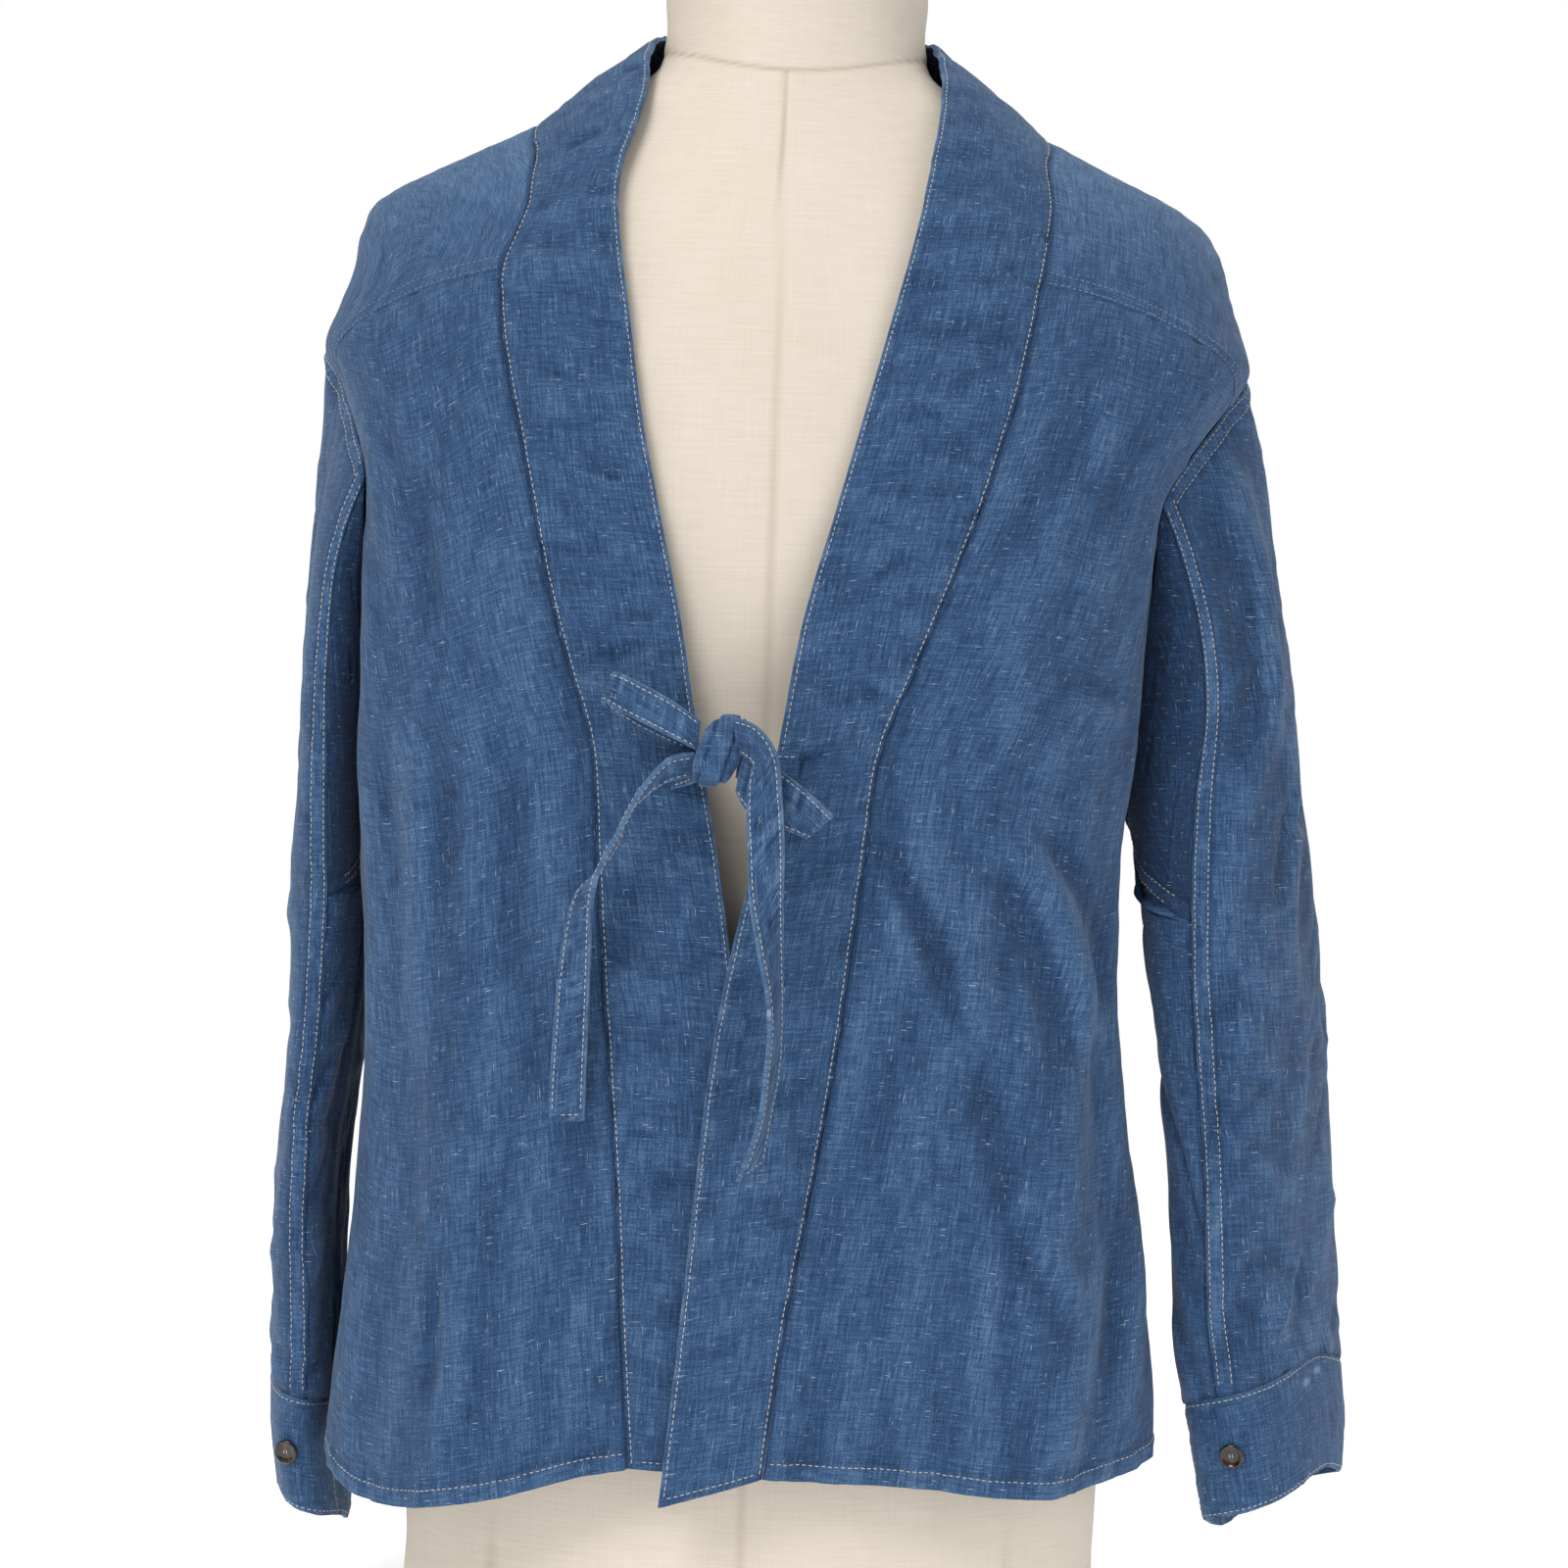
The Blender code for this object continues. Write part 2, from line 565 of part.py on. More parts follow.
def back_grid():
    """Angles and heights of the back panel, rows from the hem up."""
    left_edge = side_line("left", behind=True)
    right_edge = side_line("right", behind=True)
    right_edge[:, 0] += 360.0
    left_top, count = yoke_outer_edge("left")
    right_top, _ = yoke_outer_edge("right")
    right_top = right_top[:count].copy()
    right_top[:, 0] += 360.0
    top = np.concatenate([left_top[:count][::-1], right_top[1:]])
    bottom = hem_edge(90.0, 270.0, len(top))
    return fill_between(left_edge, right_edge, bottom, top)


def grid_normals(points):
    """Outward directions of a grid of points, from its own rows and columns."""
    along = np.gradient(points, axis=1)
    up = np.gradient(points, axis=0)
    normal = np.cross(along, up)
    return normal / np.maximum(np.linalg.norm(normal, axis=-1, keepdims=True), 1e-12)


def pull_edge(points, index, towards, distance):
    """Move one edge of a grid towards the line beside it."""
    step = points[towards] - points[index]
    length = np.maximum(np.linalg.norm(step, axis=-1, keepdims=True), 1e-9)
    points[index] = points[index] + step / length * distance


def trim(points, low_row=0.0, high_row=0.0, low_column=0.0, high_column=0.0):
    """Shorten a grid at its edges, so that it stays clear of the pieces sewn to it."""
    points = points.copy()
    if low_row:
        pull_edge(points, 0, 1, low_row)
    if high_row:
        pull_edge(points, -1, -2, high_row)
    if low_column:
        pull_edge(points, (slice(None), 0), (slice(None), 1), low_column)
    if high_column:
        pull_edge(points, (slice(None), -1), (slice(None), -2), high_column)
    return points


def add_object(name, vertices, faces, material, smooth=True):
    """A named object from points and faces, with its faces turned outward."""
    mesh = bpy.data.meshes.new(name)
    mesh.from_pydata([tuple(point) for point in vertices], [], faces)
    shape = bmesh.new()
    shape.from_mesh(mesh)
    bmesh.ops.triangulate(shape, faces=shape.faces[:])
    bmesh.ops.recalc_face_normals(shape, faces=shape.faces[:])
    shape.to_mesh(mesh)
    shape.free()
    mesh.materials.append(material)
    if smooth:
        mesh.shade_smooth()
        mesh.set_sharp_from_angle(angle=math.radians(40.0))
    item = bpy.data.objects.new(name, mesh)
    bpy.context.scene.collection.objects.link(item)
    return item


def cloth_wall(name, outer, inner, material):
    """One closed wall between an outer and an inner grid of points."""
    rows, columns = outer.shape[:2]
    count = rows * columns
    vertices = np.concatenate([outer.reshape(-1, 3), inner.reshape(-1, 3)])
    faces = []
    for row in range(rows - 1):
        for column in range(columns - 1):
            a = row * columns + column
            b = a + 1
            c = a + columns + 1
            d = a + columns
            faces.append((a, b, c, d))
            faces.append((count + d, count + c, count + b, count + a))
    border = [(0, column) for column in range(columns)]
    border += [(row, columns - 1) for row in range(1, rows)]
    border += [(rows - 1, column) for column in range(columns - 2, -1, -1)]
    border += [(row, 0) for row in range(rows - 2, 0, -1)]
    for here, there in zip(border, border[1:] + border[:1]):
        a = here[0] * columns + here[1]
        b = there[0] * columns + there[1]
        faces.append((b, a, count + a, count + b))
    return add_object(name, vertices, faces, material)


def body_panel(name, grid, material, **edges):
    """A panel of the jacket's body from angles and heights."""
    points = trim(body_point(grid[..., 0], grid[..., 1]), **edges)
    inner = points - body_normal(grid[..., 0], grid[..., 1]) * CLOTH
    return cloth_wall(name, points, inner, material)


def band_grid(side):
    """Points of one band, rows from the centre back to the hem, columns from the inner edge."""
    places = np.concatenate([collar_places(), front_places()[1:]])
    rows = read_rows(band_rows(side), places)
    inner = rows[:, :3]
    outer = body_point(rows[:, 3], rows[:, 4])
    share = np.arange(BAND_COLUMNS + 1)[None, :, None] / BAND_COLUMNS
    points = (1 - share) * inner[:, None] + share * outer[:, None]
    if side == "right":
        points = points[::-1]
    normal = -grid_normals(points)
    points = points + normal * BAND_CROWN * np.sin(math.pi * share)
    return points, normal


def make_band(side, material):
    """One band of double cloth from the centre back to the hem."""
    points, normal = band_grid(side)
    points = trim(points, high_column=SEAM_GAP)
    inner = points - normal * BAND_CLOTH
    centre_back = -1 if side == "right" else 0
    for grid in (points, inner):
        grid[centre_back, :, 0] = SEAM_GAP / 2 if side == "left" else -SEAM_GAP / 2
    return cloth_wall("band_" + side, points, inner, material)


def tube_axes(side, height):
    """Centre, half sizes and directions of a sleeve's ring at a height."""
    table = LEFT_SLEEVE_SECTIONS if side == "left" else RIGHT_SLEEVE_SECTIONS
    sign = 1.0 if side == "left" else -1.0
    centre = np.stack([sign * read_table(table, 1, height), read_table(table, 2, height)], axis=-1)
    length = read_table(table, 3, height)
    width = read_table(table, 4, height)
    turn = np.radians(read_table(table, 5, height))
    outward = np.stack([sign * np.cos(turn), -np.sin(turn)], axis=-1)
    forward = np.stack([-sign * np.sin(turn), -np.cos(turn)], axis=-1)
    return centre, length, width, outward, forward


def tube_point(side, angle_degrees, height):
    """A point of a sleeve's tube: 0 outward, 90 to the front, 180 inward."""
    centre, length, width, outward, forward = tube_axes(side, height)
    angle = np.radians(angle_degrees)
    cosine = np.cos(angle)
    sine = np.sin(angle)
    squareness = SLEEVE_SQUARENESS
    reach = (np.abs(cosine) / width) ** squareness + (np.abs(sine) / length) ** squareness
    radius = reach ** (-1 / squareness)
    flat = centre + (radius * cosine)[..., None] * outward + (radius * sine)[..., None] * forward
    return np.concatenate([flat, np.asarray(height)[..., None]], axis=-1)


def even_tube_angle(share):
    """Tube angle in degrees for an even share of the flattened ring, 0.25 at the front end."""
    turns = np.floor(share)
    part = (share - turns) * 4
    quarter = np.floor(part)
    inside = part - quarter
    rising = np.where(np.mod(quarter, 2) == 0, inside, 1 - inside)
    quarter_turn = rising * math.pi / 2
    spread = np.degrees(np.arctan2(np.sin(quarter_turn), SLEEVE_FLATNESS * np.cos(quarter_turn)))
    base = np.where(np.mod(quarter, 2) == 0, quarter * 90 + spread, (quarter + 1) * 90 - spread)
    return turns * 360 + base


def armhole_points(side):
    """The armhole's edge just clear of the body: over the top from the gusset's corner to the
    back, down the back to the underarm, and down the front from the gusset's corner."""
    front = side_line(side)
    back = side_line(side, behind=True)
    _, seam_rows = side_boundary()
    corner = seam_rows + GUSSET_CORNER_ROW * FRONT_STEPS
    top, count = yoke_outer_edge(side)
    over = np.concatenate([front[corner:], top[count:-1][::-1], back[corner:][::-1]])
    under_back = back[seam_rows:corner + 1][::-1]
    under_front = front[seam_rows:corner + 1][::-1]
    found = []
    for line in (over, under_back, under_front):
        points = body_point(line[:, 0], line[:, 1])
        found.append(points + body_normal(line[:, 0], line[:, 1]) * SEAM_GAP)
    return found


def split_segments(points):
    """The same line of points with each segment's middle added."""
    middles = (points[1:] + points[:-1]) / 2
    joined = np.empty((len(points) + len(middles),) + points.shape[1:])
    joined[0::2] = points
    joined[1::2] = middles
    return joined


def arc_shares(points):
    """Share of the way along a line of points."""
    lengths = np.linalg.norm(np.diff(points, axis=0), axis=-1)
    return np.concatenate([[0.0], np.cumsum(lengths)]) / lengths.sum()


def cuff_seam_height(side, angle_degrees):
    """Height of the seam between sleeve and cuff at a tube angle."""
    height, rise = CUFF_SEAM[side]
    return height + rise / 2 * np.cos(np.radians(angle_degrees))


def armhole_blend(side, start_points, start_angles, angles, heights, share):
    """Tube points that leave the armhole's edge and settle on the hanging tube."""
    offset = start_points - tube_point(side, start_angles, start_points[:, 2])
    outer = np.clip(np.cos(np.radians(start_angles)), 0.0, 1.0)
    reach = UNDERARM_BLEND_SHARE + (OUTER_BLEND_SHARE - UNDERARM_BLEND_SHARE) * outer
    fade = np.clip(1 - share[:, None] / reach, 0.0, 1.0) ** 2
    return tube_point(side, angles, heights) + offset * fade[:, :, None]


def sleeve_shares():
    """Row places down a sleeve, with one at the gusset's tip."""
    upper = GUSSET_TIP_SHARE * np.arange(GUSSET_ROWS + 1) / GUSSET_ROWS
    count = SLEEVE_ROWS - GUSSET_ROWS
    lower = GUSSET_TIP_SHARE + (1 - GUSSET_TIP_SHARE) * np.arange(1, count + 1) / count
    return np.concatenate([upper, lower])


def seam_share(side):
    """Place of the sleeve's seam round its flattened ring."""
    return 0.25 + (SLEEVE_SEAM_ANGLE[side] - 90.0) / 360.0


def tip_ring_height(side, angles):
    """Height of the sleeve's row at the gusset's tip, lowest at the tip itself."""
    apart = np.radians(angles - even_tube_angle(np.array(seam_share(side))))
    return GUSSET_TIP_HEIGHT + GUSSET_TIP_RISE * (1 - np.cos(apart)) / 2


def clear_of_body(points, clearance):
    """Points moved straight out from the axis where they would come too near the body."""
    angle = np.degrees(np.arctan2(points[..., 0], -points[..., 1]))
    surface = body_point(angle, points[..., 2])
    radius = np.linalg.norm(points[..., :2], axis=-1)
    needed = np.linalg.norm(surface[..., :2], axis=-1) + clearance
    moved = points.copy()
    moved[..., :2] *= np.maximum(needed / radius, 1.0)[..., None]
    return moved


def sleeve_points(side):
    """Points of a sleeve, rows from armhole to cuff, columns from its front edge round the outside."""
    over, under_back, _ = armhole_points(side)
    over = split_segments(over)
    points = np.concatenate([over, under_back[1:]])
    places = np.concatenate([0.25 - 0.5 * arc_shares(over), -0.25 - 0.25 * arc_shares(under_back)[1:]])
    start = even_tube_angle(places)
    end = even_tube_angle(seam_share(side) - np.arange(len(points)) / (len(points) - 1))
    share = sleeve_shares()
    upper = np.clip(share / GUSSET_TIP_SHARE, 0.0, 1.0)[:, None]
    lower = np.clip((share - GUSSET_TIP_SHARE) / (1 - GUSSET_TIP_SHARE), 0.0, 1.0)[:, None]
    delay = np.zeros(len(points))
    delay[len(over):] = SLEEVE_TURN_DELAY * arc_shares(under_back)[1:]
    delay[-1] = 0.0
    angles = start + (end - start) * upper ** (1 + delay)
    tip_row = tip_ring_height(side, end)
    heights = points[:, 2] + (tip_row - points[:, 2]) * upper
    heights = heights + (cuff_seam_height(side, end) - tip_row) * lower
    found = armhole_blend(side, points, start, angles, heights, share)
    found[1:] = clear_of_body(found[1:], SLEEVE_CLEARANCE)
    return found


def gusset_points(side):
    """Points of a gusset, rows from the body to its tip, columns from the sleeve's front edge down."""
    _, _, points = armhole_points(side)
    start = even_tube_angle(0.25 + 0.25 * arc_shares(points))
    tip = float(even_tube_angle(np.array(seam_share(side))))
    share = sleeve_shares()[:GUSSET_ROWS + 1]
    turn = (share / GUSSET_TIP_SHARE)[:, None]
    angles = (1 - turn) * start + turn * tip
    heights = points[:, 2] + (GUSSET_TIP_HEIGHT - points[:, 2]) * turn
    return armhole_blend(side, points, start, angles, heights, share)


def facing_out(points, side, turned):
    """Grid directions that point out of a tube on either side."""
    normal = grid_normals(points)
    sign = 1.0 if side == "left" else -1.0
    return normal * sign * turned


def share_normals(first, first_index, second, second_index):
    """Give two edges that meet at a seam the same directions."""
    mean = first[first_index] + second[second_index]
    mean = mean / np.maximum(np.linalg.norm(mean, axis=-1, keepdims=True), 1e-9)
    first[first_index] = mean
    second[second_index] = mean


def make_sleeve_and_gusset(side, sleeve_material, gusset_material):
    """One sleeve, a cloth rolled to a tube with its edges meeting at the seam, and its gusset."""
    sleeve = sleeve_points(side)
    gusset = gusset_points(side)
    sleeve_normal = facing_out(sleeve, side, -1.0)
    gusset_normal = facing_out(gusset, side, 1.0)
    upper = slice(0, GUSSET_ROWS + 1)
    lower = slice(GUSSET_ROWS, None)
    share_normals(sleeve_normal, (upper, 0), gusset_normal, (slice(None), 0))
    share_normals(sleeve_normal, (upper, -1), gusset_normal, (slice(None), -1))
    share_normals(sleeve_normal, (lower, 0), sleeve_normal, (lower, -1))
    sleeve = trim(sleeve, low_row=SEAM_GAP, high_row=SEAM_GAP, low_column=SEAM_GAP, high_column=SEAM_GAP)
    gusset = trim(gusset[:-1], low_row=SEAM_GAP, low_column=SEAM_GAP, high_column=GUSSET_BACK_GAP)
    cloth_wall("sleeve_" + side, sleeve, sleeve - sleeve_normal * CLOTH, sleeve_material)
    cloth_wall("gusset_" + side, gusset, gusset - gusset_normal[:-1] * CLOTH, gusset_material)


def cuff_points(side):
    """Points of a cuff, rows from its seam down, columns from the over end round to the under end."""
    start = PLACKET_ANGLE[side]
    angles = start - np.linspace(0.0, 360.0 + CUFF_OVERLAP_ANGLE, CUFF_COLUMNS + 1)
    rows = np.arange(CUFF_ROWS + 1) / CUFF_ROWS
    top = cuff_seam_height(side, angles) - SEAM_GAP
    heights = top[None] - CUFF_HEIGHT * rows[:, None]
    points = tube_point(side, np.broadcast_to(angles, heights.shape), heights)
    behind = np.clip((start - angles - 360.0 + CUFF_PASS_ANGLE) / CUFF_PASS_ANGLE, 0.0, 1.0)
    return points, behind


def make_cuff(side, material):
    """A cuff of double cloth whose under end passes behind its over end."""
    points, behind = cuff_points(side)
    normal = facing_out(points, side, -1.0)
    points = points - normal * (CUFF_OVERLAP_STEP * behind)[None, :, None]
    return cloth_wall("cuff_" + side, points, points - normal * CUFF_CLOTH, material)


def ribbon(name, rows, material):
    """A tie: a flat band of folded cloth through the given edges."""
    places = np.arange((len(rows) - 1) * TIE_STEPS + 1) / TIE_STEPS
    edges = read_rows(rows, places)
    points = np.stack([edges[:, :3], edges[:, 3:]], axis=1)
    normal = grid_normals(points)
    half = normal * TIE_CLOTH / 2
    return cloth_wall(name, points + half, points - half, material)


def make_knot(material):
    """The knot, a rounded block that leans to one side."""
    shape = bmesh.new()
    bmesh.ops.create_uvsphere(shape, u_segments=12, v_segments=8, radius=1.0)
    for point in shape.verts:
        for axis in range(3):
            value = point.co[axis]
            point.co[axis] = math.copysign(abs(value) ** 0.75, value) * KNOT_HALF_SIZE[axis]
        point.co.x += point.co.z * KNOT_LEAN
        point.co.x += KNOT_CENTRE[0]
        point.co.y += KNOT_CENTRE[1]
        point.co.z += KNOT_CENTRE[2]
    vertices = [tuple(point.co) for point in shape.verts]
    faces = [[point.index for point in face.verts] for face in shape.faces]
    shape.free()
    return add_object("tie_knot", vertices, faces, material)


def make_form(material):
    """The form: rings from its flat underside to the domed top of its neck."""
    angles = np.arange(FORM_COLUMNS) * 2 * math.pi / FORM_COLUMNS
    vertices = []
    for height, width, front, back, squareness in FORM_SECTIONS:
        radius = ring_radius(angles, width, front, back, squareness)
        vertices += [tuple(point) for point in around(angles, radius, np.full(FORM_COLUMNS, height))]
    faces = []
    for row in range(len(FORM_SECTIONS) - 1):
        for column in range(FORM_COLUMNS):
            following = (column + 1) % FORM_COLUMNS
            low = row * FORM_COLUMNS
            high = low + FORM_COLUMNS
            faces.append((low + column, low + following, high + following, high + column))
    faces.append(tuple(range(FORM_COLUMNS))[::-1])
    last = (len(FORM_SECTIONS) - 1) * FORM_COLUMNS
    faces.append(tuple(range(last, last + FORM_COLUMNS)))
    return add_object("dress_form", vertices, faces, material)


def make_button(side, material):
    """A button with a raised rim on the cuff's overlap."""
    angle = PLACKET_ANGLE[side] - BUTTON_COLUMN * (360.0 + CUFF_OVERLAP_ANGLE) / CUFF_COLUMNS
    height = float(cuff_seam_height(side, angle)) - CUFF_HEIGHT / 2
    middle = tube_point(side, np.array(angle), np.array(height))
    ahead = tube_point(side, np.array(angle + 4.0), np.array(height))
    above = tube_point(side, np.array(angle), np.array(height + 0.004))
    outward = np.cross(ahead - middle, above - middle)
    outward = outward / np.linalg.norm(outward)
    if np.dot(outward[:2], middle[:2] - tube_axes(side, np.array(height))[0]) < 0:
        outward = -outward
    upward = above - middle
    upward = upward / np.linalg.norm(upward)
    aside = np.cross(upward, outward)
    profile = (
        (0.0, 0.0), (BUTTON_RADIUS * 0.86, 0.0), (BUTTON_RADIUS, BUTTON_THICKNESS * 0.4),
        (BUTTON_RADIUS * 0.94, BUTTON_THICKNESS * 0.85), (BUTTON_RADIUS * 0.82, BUTTON_THICKNESS),
        (BUTTON_RADIUS * 0.66, BUTTON_THICKNESS * 0.72), (0.0, BUTTON_THICKNESS * 0.55),
    )
    segments = 20
    seat = middle + outward * SEAM_GAP
    vertices = []
    for radius, rise in profile[1:-1]:
        for step in range(segments):
            turn = 2 * math.pi * step / segments
            spoke = math.cos(turn) * aside + math.sin(turn) * upward
            vertices.append(seat + outward * rise + spoke * radius)
    faces = []
    for ring in range(len(profile) - 3):
        for step in range(segments):
            following = (step + 1) % segments
            low = ring * segments
            high = low + segments
            faces.append((low + step, low + following, high + following, high + step))
    faces.append(tuple(range(segments))[::-1])
    last = (len(profile) - 3) * segments
    faces.append(tuple(range(last, last + segments)))
    return add_object("button_" + side, vertices, faces, material)


def main():
    """Build the form and the jacket."""
    clear_scene()
    denim = make_material("denim", BLUE, 0.9)
    deep_denim = make_material("deep_denim", DEEP_BLUE, 0.9)
    linen = make_material("linen", LINEN, 0.85)
    horn = make_material("horn", HORN, 0.15)
    make_form(linen)
    body_panel("back_panel", back_grid(), denim, high_row=SEAM_GAP,
               low_column=SEAM_GAP, high_column=SEAM_GAP)
    body_panel("yoke", yoke_grid(), denim, low_row=SEAM_GAP, high_row=SEAM_GAP, low_column=SEAM_GAP)
    for side in ("left", "right"):
        body_panel("front_" + side, front_grid(side), denim, high_row=SEAM_GAP,
                   low_column=SEAM_GAP, high_column=SEAM_GAP)
        make_band(side, deep_denim)
        make_sleeve_and_gusset(side, denim, deep_denim)
        make_cuff(side, deep_denim)
        make_button(side, horn)
    make_knot(deep_denim)
    ribbon("tie_loop_right", RIGHT_LOOP, denim)
    ribbon("tie_loop_left", LEFT_LOOP, denim)
    ribbon("tie_tail_right", RIGHT_TAIL, denim)
    ribbon("tie_tail_left", LEFT_TAIL, denim)
    ribbon("tie_stem_right", RIGHT_STEM, denim)
    ribbon("tie_stem_left", LEFT_STEM, denim)


main()
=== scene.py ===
"""The looks of a noragi jacket of blue chambray on a limbless dress form.

Metres, +Z up. The form stands on z = 0, the front faces -Y, and the wearer's left is +X.
Angles on the body run from 0 at the centre front to 90 at the side and 180 at the centre back.
Each piece of cloth is a thin shell on its solid's form, with its creases and sewn edges.
"""
import math

import bpy
import numpy as np
from mathutils import Matrix, Vector


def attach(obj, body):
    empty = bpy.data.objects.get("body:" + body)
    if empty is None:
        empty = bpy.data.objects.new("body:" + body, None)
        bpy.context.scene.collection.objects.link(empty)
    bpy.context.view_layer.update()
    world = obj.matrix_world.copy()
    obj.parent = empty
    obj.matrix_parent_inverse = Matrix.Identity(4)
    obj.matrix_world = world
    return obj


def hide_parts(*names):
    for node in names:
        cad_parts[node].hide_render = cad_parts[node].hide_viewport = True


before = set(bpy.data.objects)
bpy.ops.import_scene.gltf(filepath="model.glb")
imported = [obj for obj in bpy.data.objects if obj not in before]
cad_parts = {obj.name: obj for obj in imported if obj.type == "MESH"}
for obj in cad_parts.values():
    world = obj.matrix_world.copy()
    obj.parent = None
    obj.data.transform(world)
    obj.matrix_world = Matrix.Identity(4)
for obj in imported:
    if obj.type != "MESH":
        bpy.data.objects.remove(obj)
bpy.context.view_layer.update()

# Camera: place, lens for a 36 mm sensor, and its turn about its own line of sight
CAMERA_PLACE = (0.0056, -1.550, 0.415)
CAMERA_LENS = 71.7
CAMERA_ROLL = 1.8

# Light
SKY_LIGHT = 0.42
FLOOR_SIZE = 1.6
FLOOR_COLOUR = (0.93, 0.93, 0.93, 1.0)
FLOOR_GLOW = 0.55
# name, place, target, size, power, colour
LIGHTS = (
    ("key", (-1.2, -1.8, 2.4), (0.0, 0.0, 0.45), 1.2, 42.0, (1.0, 0.98, 0.95)),
    ("fill", (1.9, -1.9, 1.1), (0.0, 0.0, 0.40), 1.8, 12.0, (0.95, 0.97, 1.0)),
    ("top", (0.0, 0.3, 2.4), (0.0, 0.0, 0.5), 1.2, 10.0, (1.0, 1.0, 1.0)),
)

# Colours
DARK_BLUE = (0.011, 0.029, 0.072, 1.0)
MIDDLE_BLUE = (0.034, 0.086, 0.194, 1.0)
PALE_BLUE = (0.145, 0.245, 0.390, 1.0)
FLECK = (0.42, 0.52, 0.62, 1.0)
THREAD = (0.56, 0.54, 0.47, 1.0)
FINE_THREAD = (0.19, 0.28, 0.39, 1.0)
LINEN_DARK = (0.68, 0.600, 0.500, 1.0)
LINEN_PALE = (0.80, 0.725, 0.625, 1.0)
LINEN_SEAM = (0.42, 0.34, 0.25, 1.0)
HORN = (0.010, 0.007, 0.006, 1.0)
AMBER = (0.12, 0.045, 0.012, 1.0)
# The cloth's tone attribute holds real wear on edges and seams together with painted light and shade: paler
# shoulders and crease ridges, darker ditches, crease troughs, gussets and knot grooves. This sets how
# strongly it pales or darkens the cloth.
WEAR_AND_PAINTED_LIGHT_STRENGTH = 0.55
# Painted light and shade on creases: ridges paler, troughs darker.
CREASE_PAINTED_LIGHT = 0.16
# Painted light on the shoulders: the cloth paler from this height up, as if lit from above.
SHOULDER_PAINTED_LIGHT = 0.30
SHOULDER_LOW = 0.62
SHOULDER_FADE = 0.09
# Painted shade on the gussets, as if in shadow between body and sleeve.
GUSSET_PAINTED_SHADE = 0.45

# Pale worn spots on the left cuff: x and z seen from the front
CUFF_SPOTS = ((0.2678, 0.1330), (0.2747, 0.1372))
CUFF_SPOT_SIZE = 0.0017
CUFF_SPOT_PALENESS = 2.0

# Stitches
STITCH_PITCH = 0.0030
STITCH_LENGTH = 0.0022
STITCH_RADIUS = 0.00024

# How far inside an edge each kind of stitch row runs
EDGE_ROW = 0.0020
CUFF_ROW = 0.0022
TIE_ROW = 0.0017
TIE_END_ROW = 0.0030
BODY_SEAM_ROW = 0.0016
SLEEVE_SEAM_ROW = 0.0018
YOKE_SECOND_ROW = 0.0072

# Sewn edges
HEM_STRIP = 0.0078
SEAM_STRIP = 0.0082
STRIP_RISE = 0.0004
DITCH_DEPTH = 0.0006
DITCH_WIDTH = 0.0012
PUCKER_PITCH = 0.0115
HEM_PUCKER_DEPTH = 0.00080
SEAM_PUCKER_DEPTH = 0.00035
CREASE_TAPER = 0.30

# Depths of the small creases and slow waves
DRAPE_DEPTH = 0.0007
RIPPLE_DEPTH = 0.00022
BAND_PUCKER_DEPTH = 0.00115
BAND_WAVE_DEPTH = 0.00045
SLEEVE_PUCKER_DEPTH = 0.0011
GUSSET_PUCKER_DEPTH = 0.0007
CUFF_PUCKER_DEPTH = 0.00055
TIE_PUCKER_DEPTH = 0.00035

# Lengths round a sleeve and across a gusset
SLEEVE_GIRTH = 0.27
GUSSET_GIRTH = 0.07

# The form's seams
NECK_SEAM_HEIGHT = 0.773
NECK_SEAM_DIP = -0.017
FORM_CENTRE_SEAM = -0.0045
FORM_SIDE_SEAMS = (-0.118, 0.118)

# The button's turn from the cuff's end, in degrees
BUTTON_ANGLE_STEP = 27.07

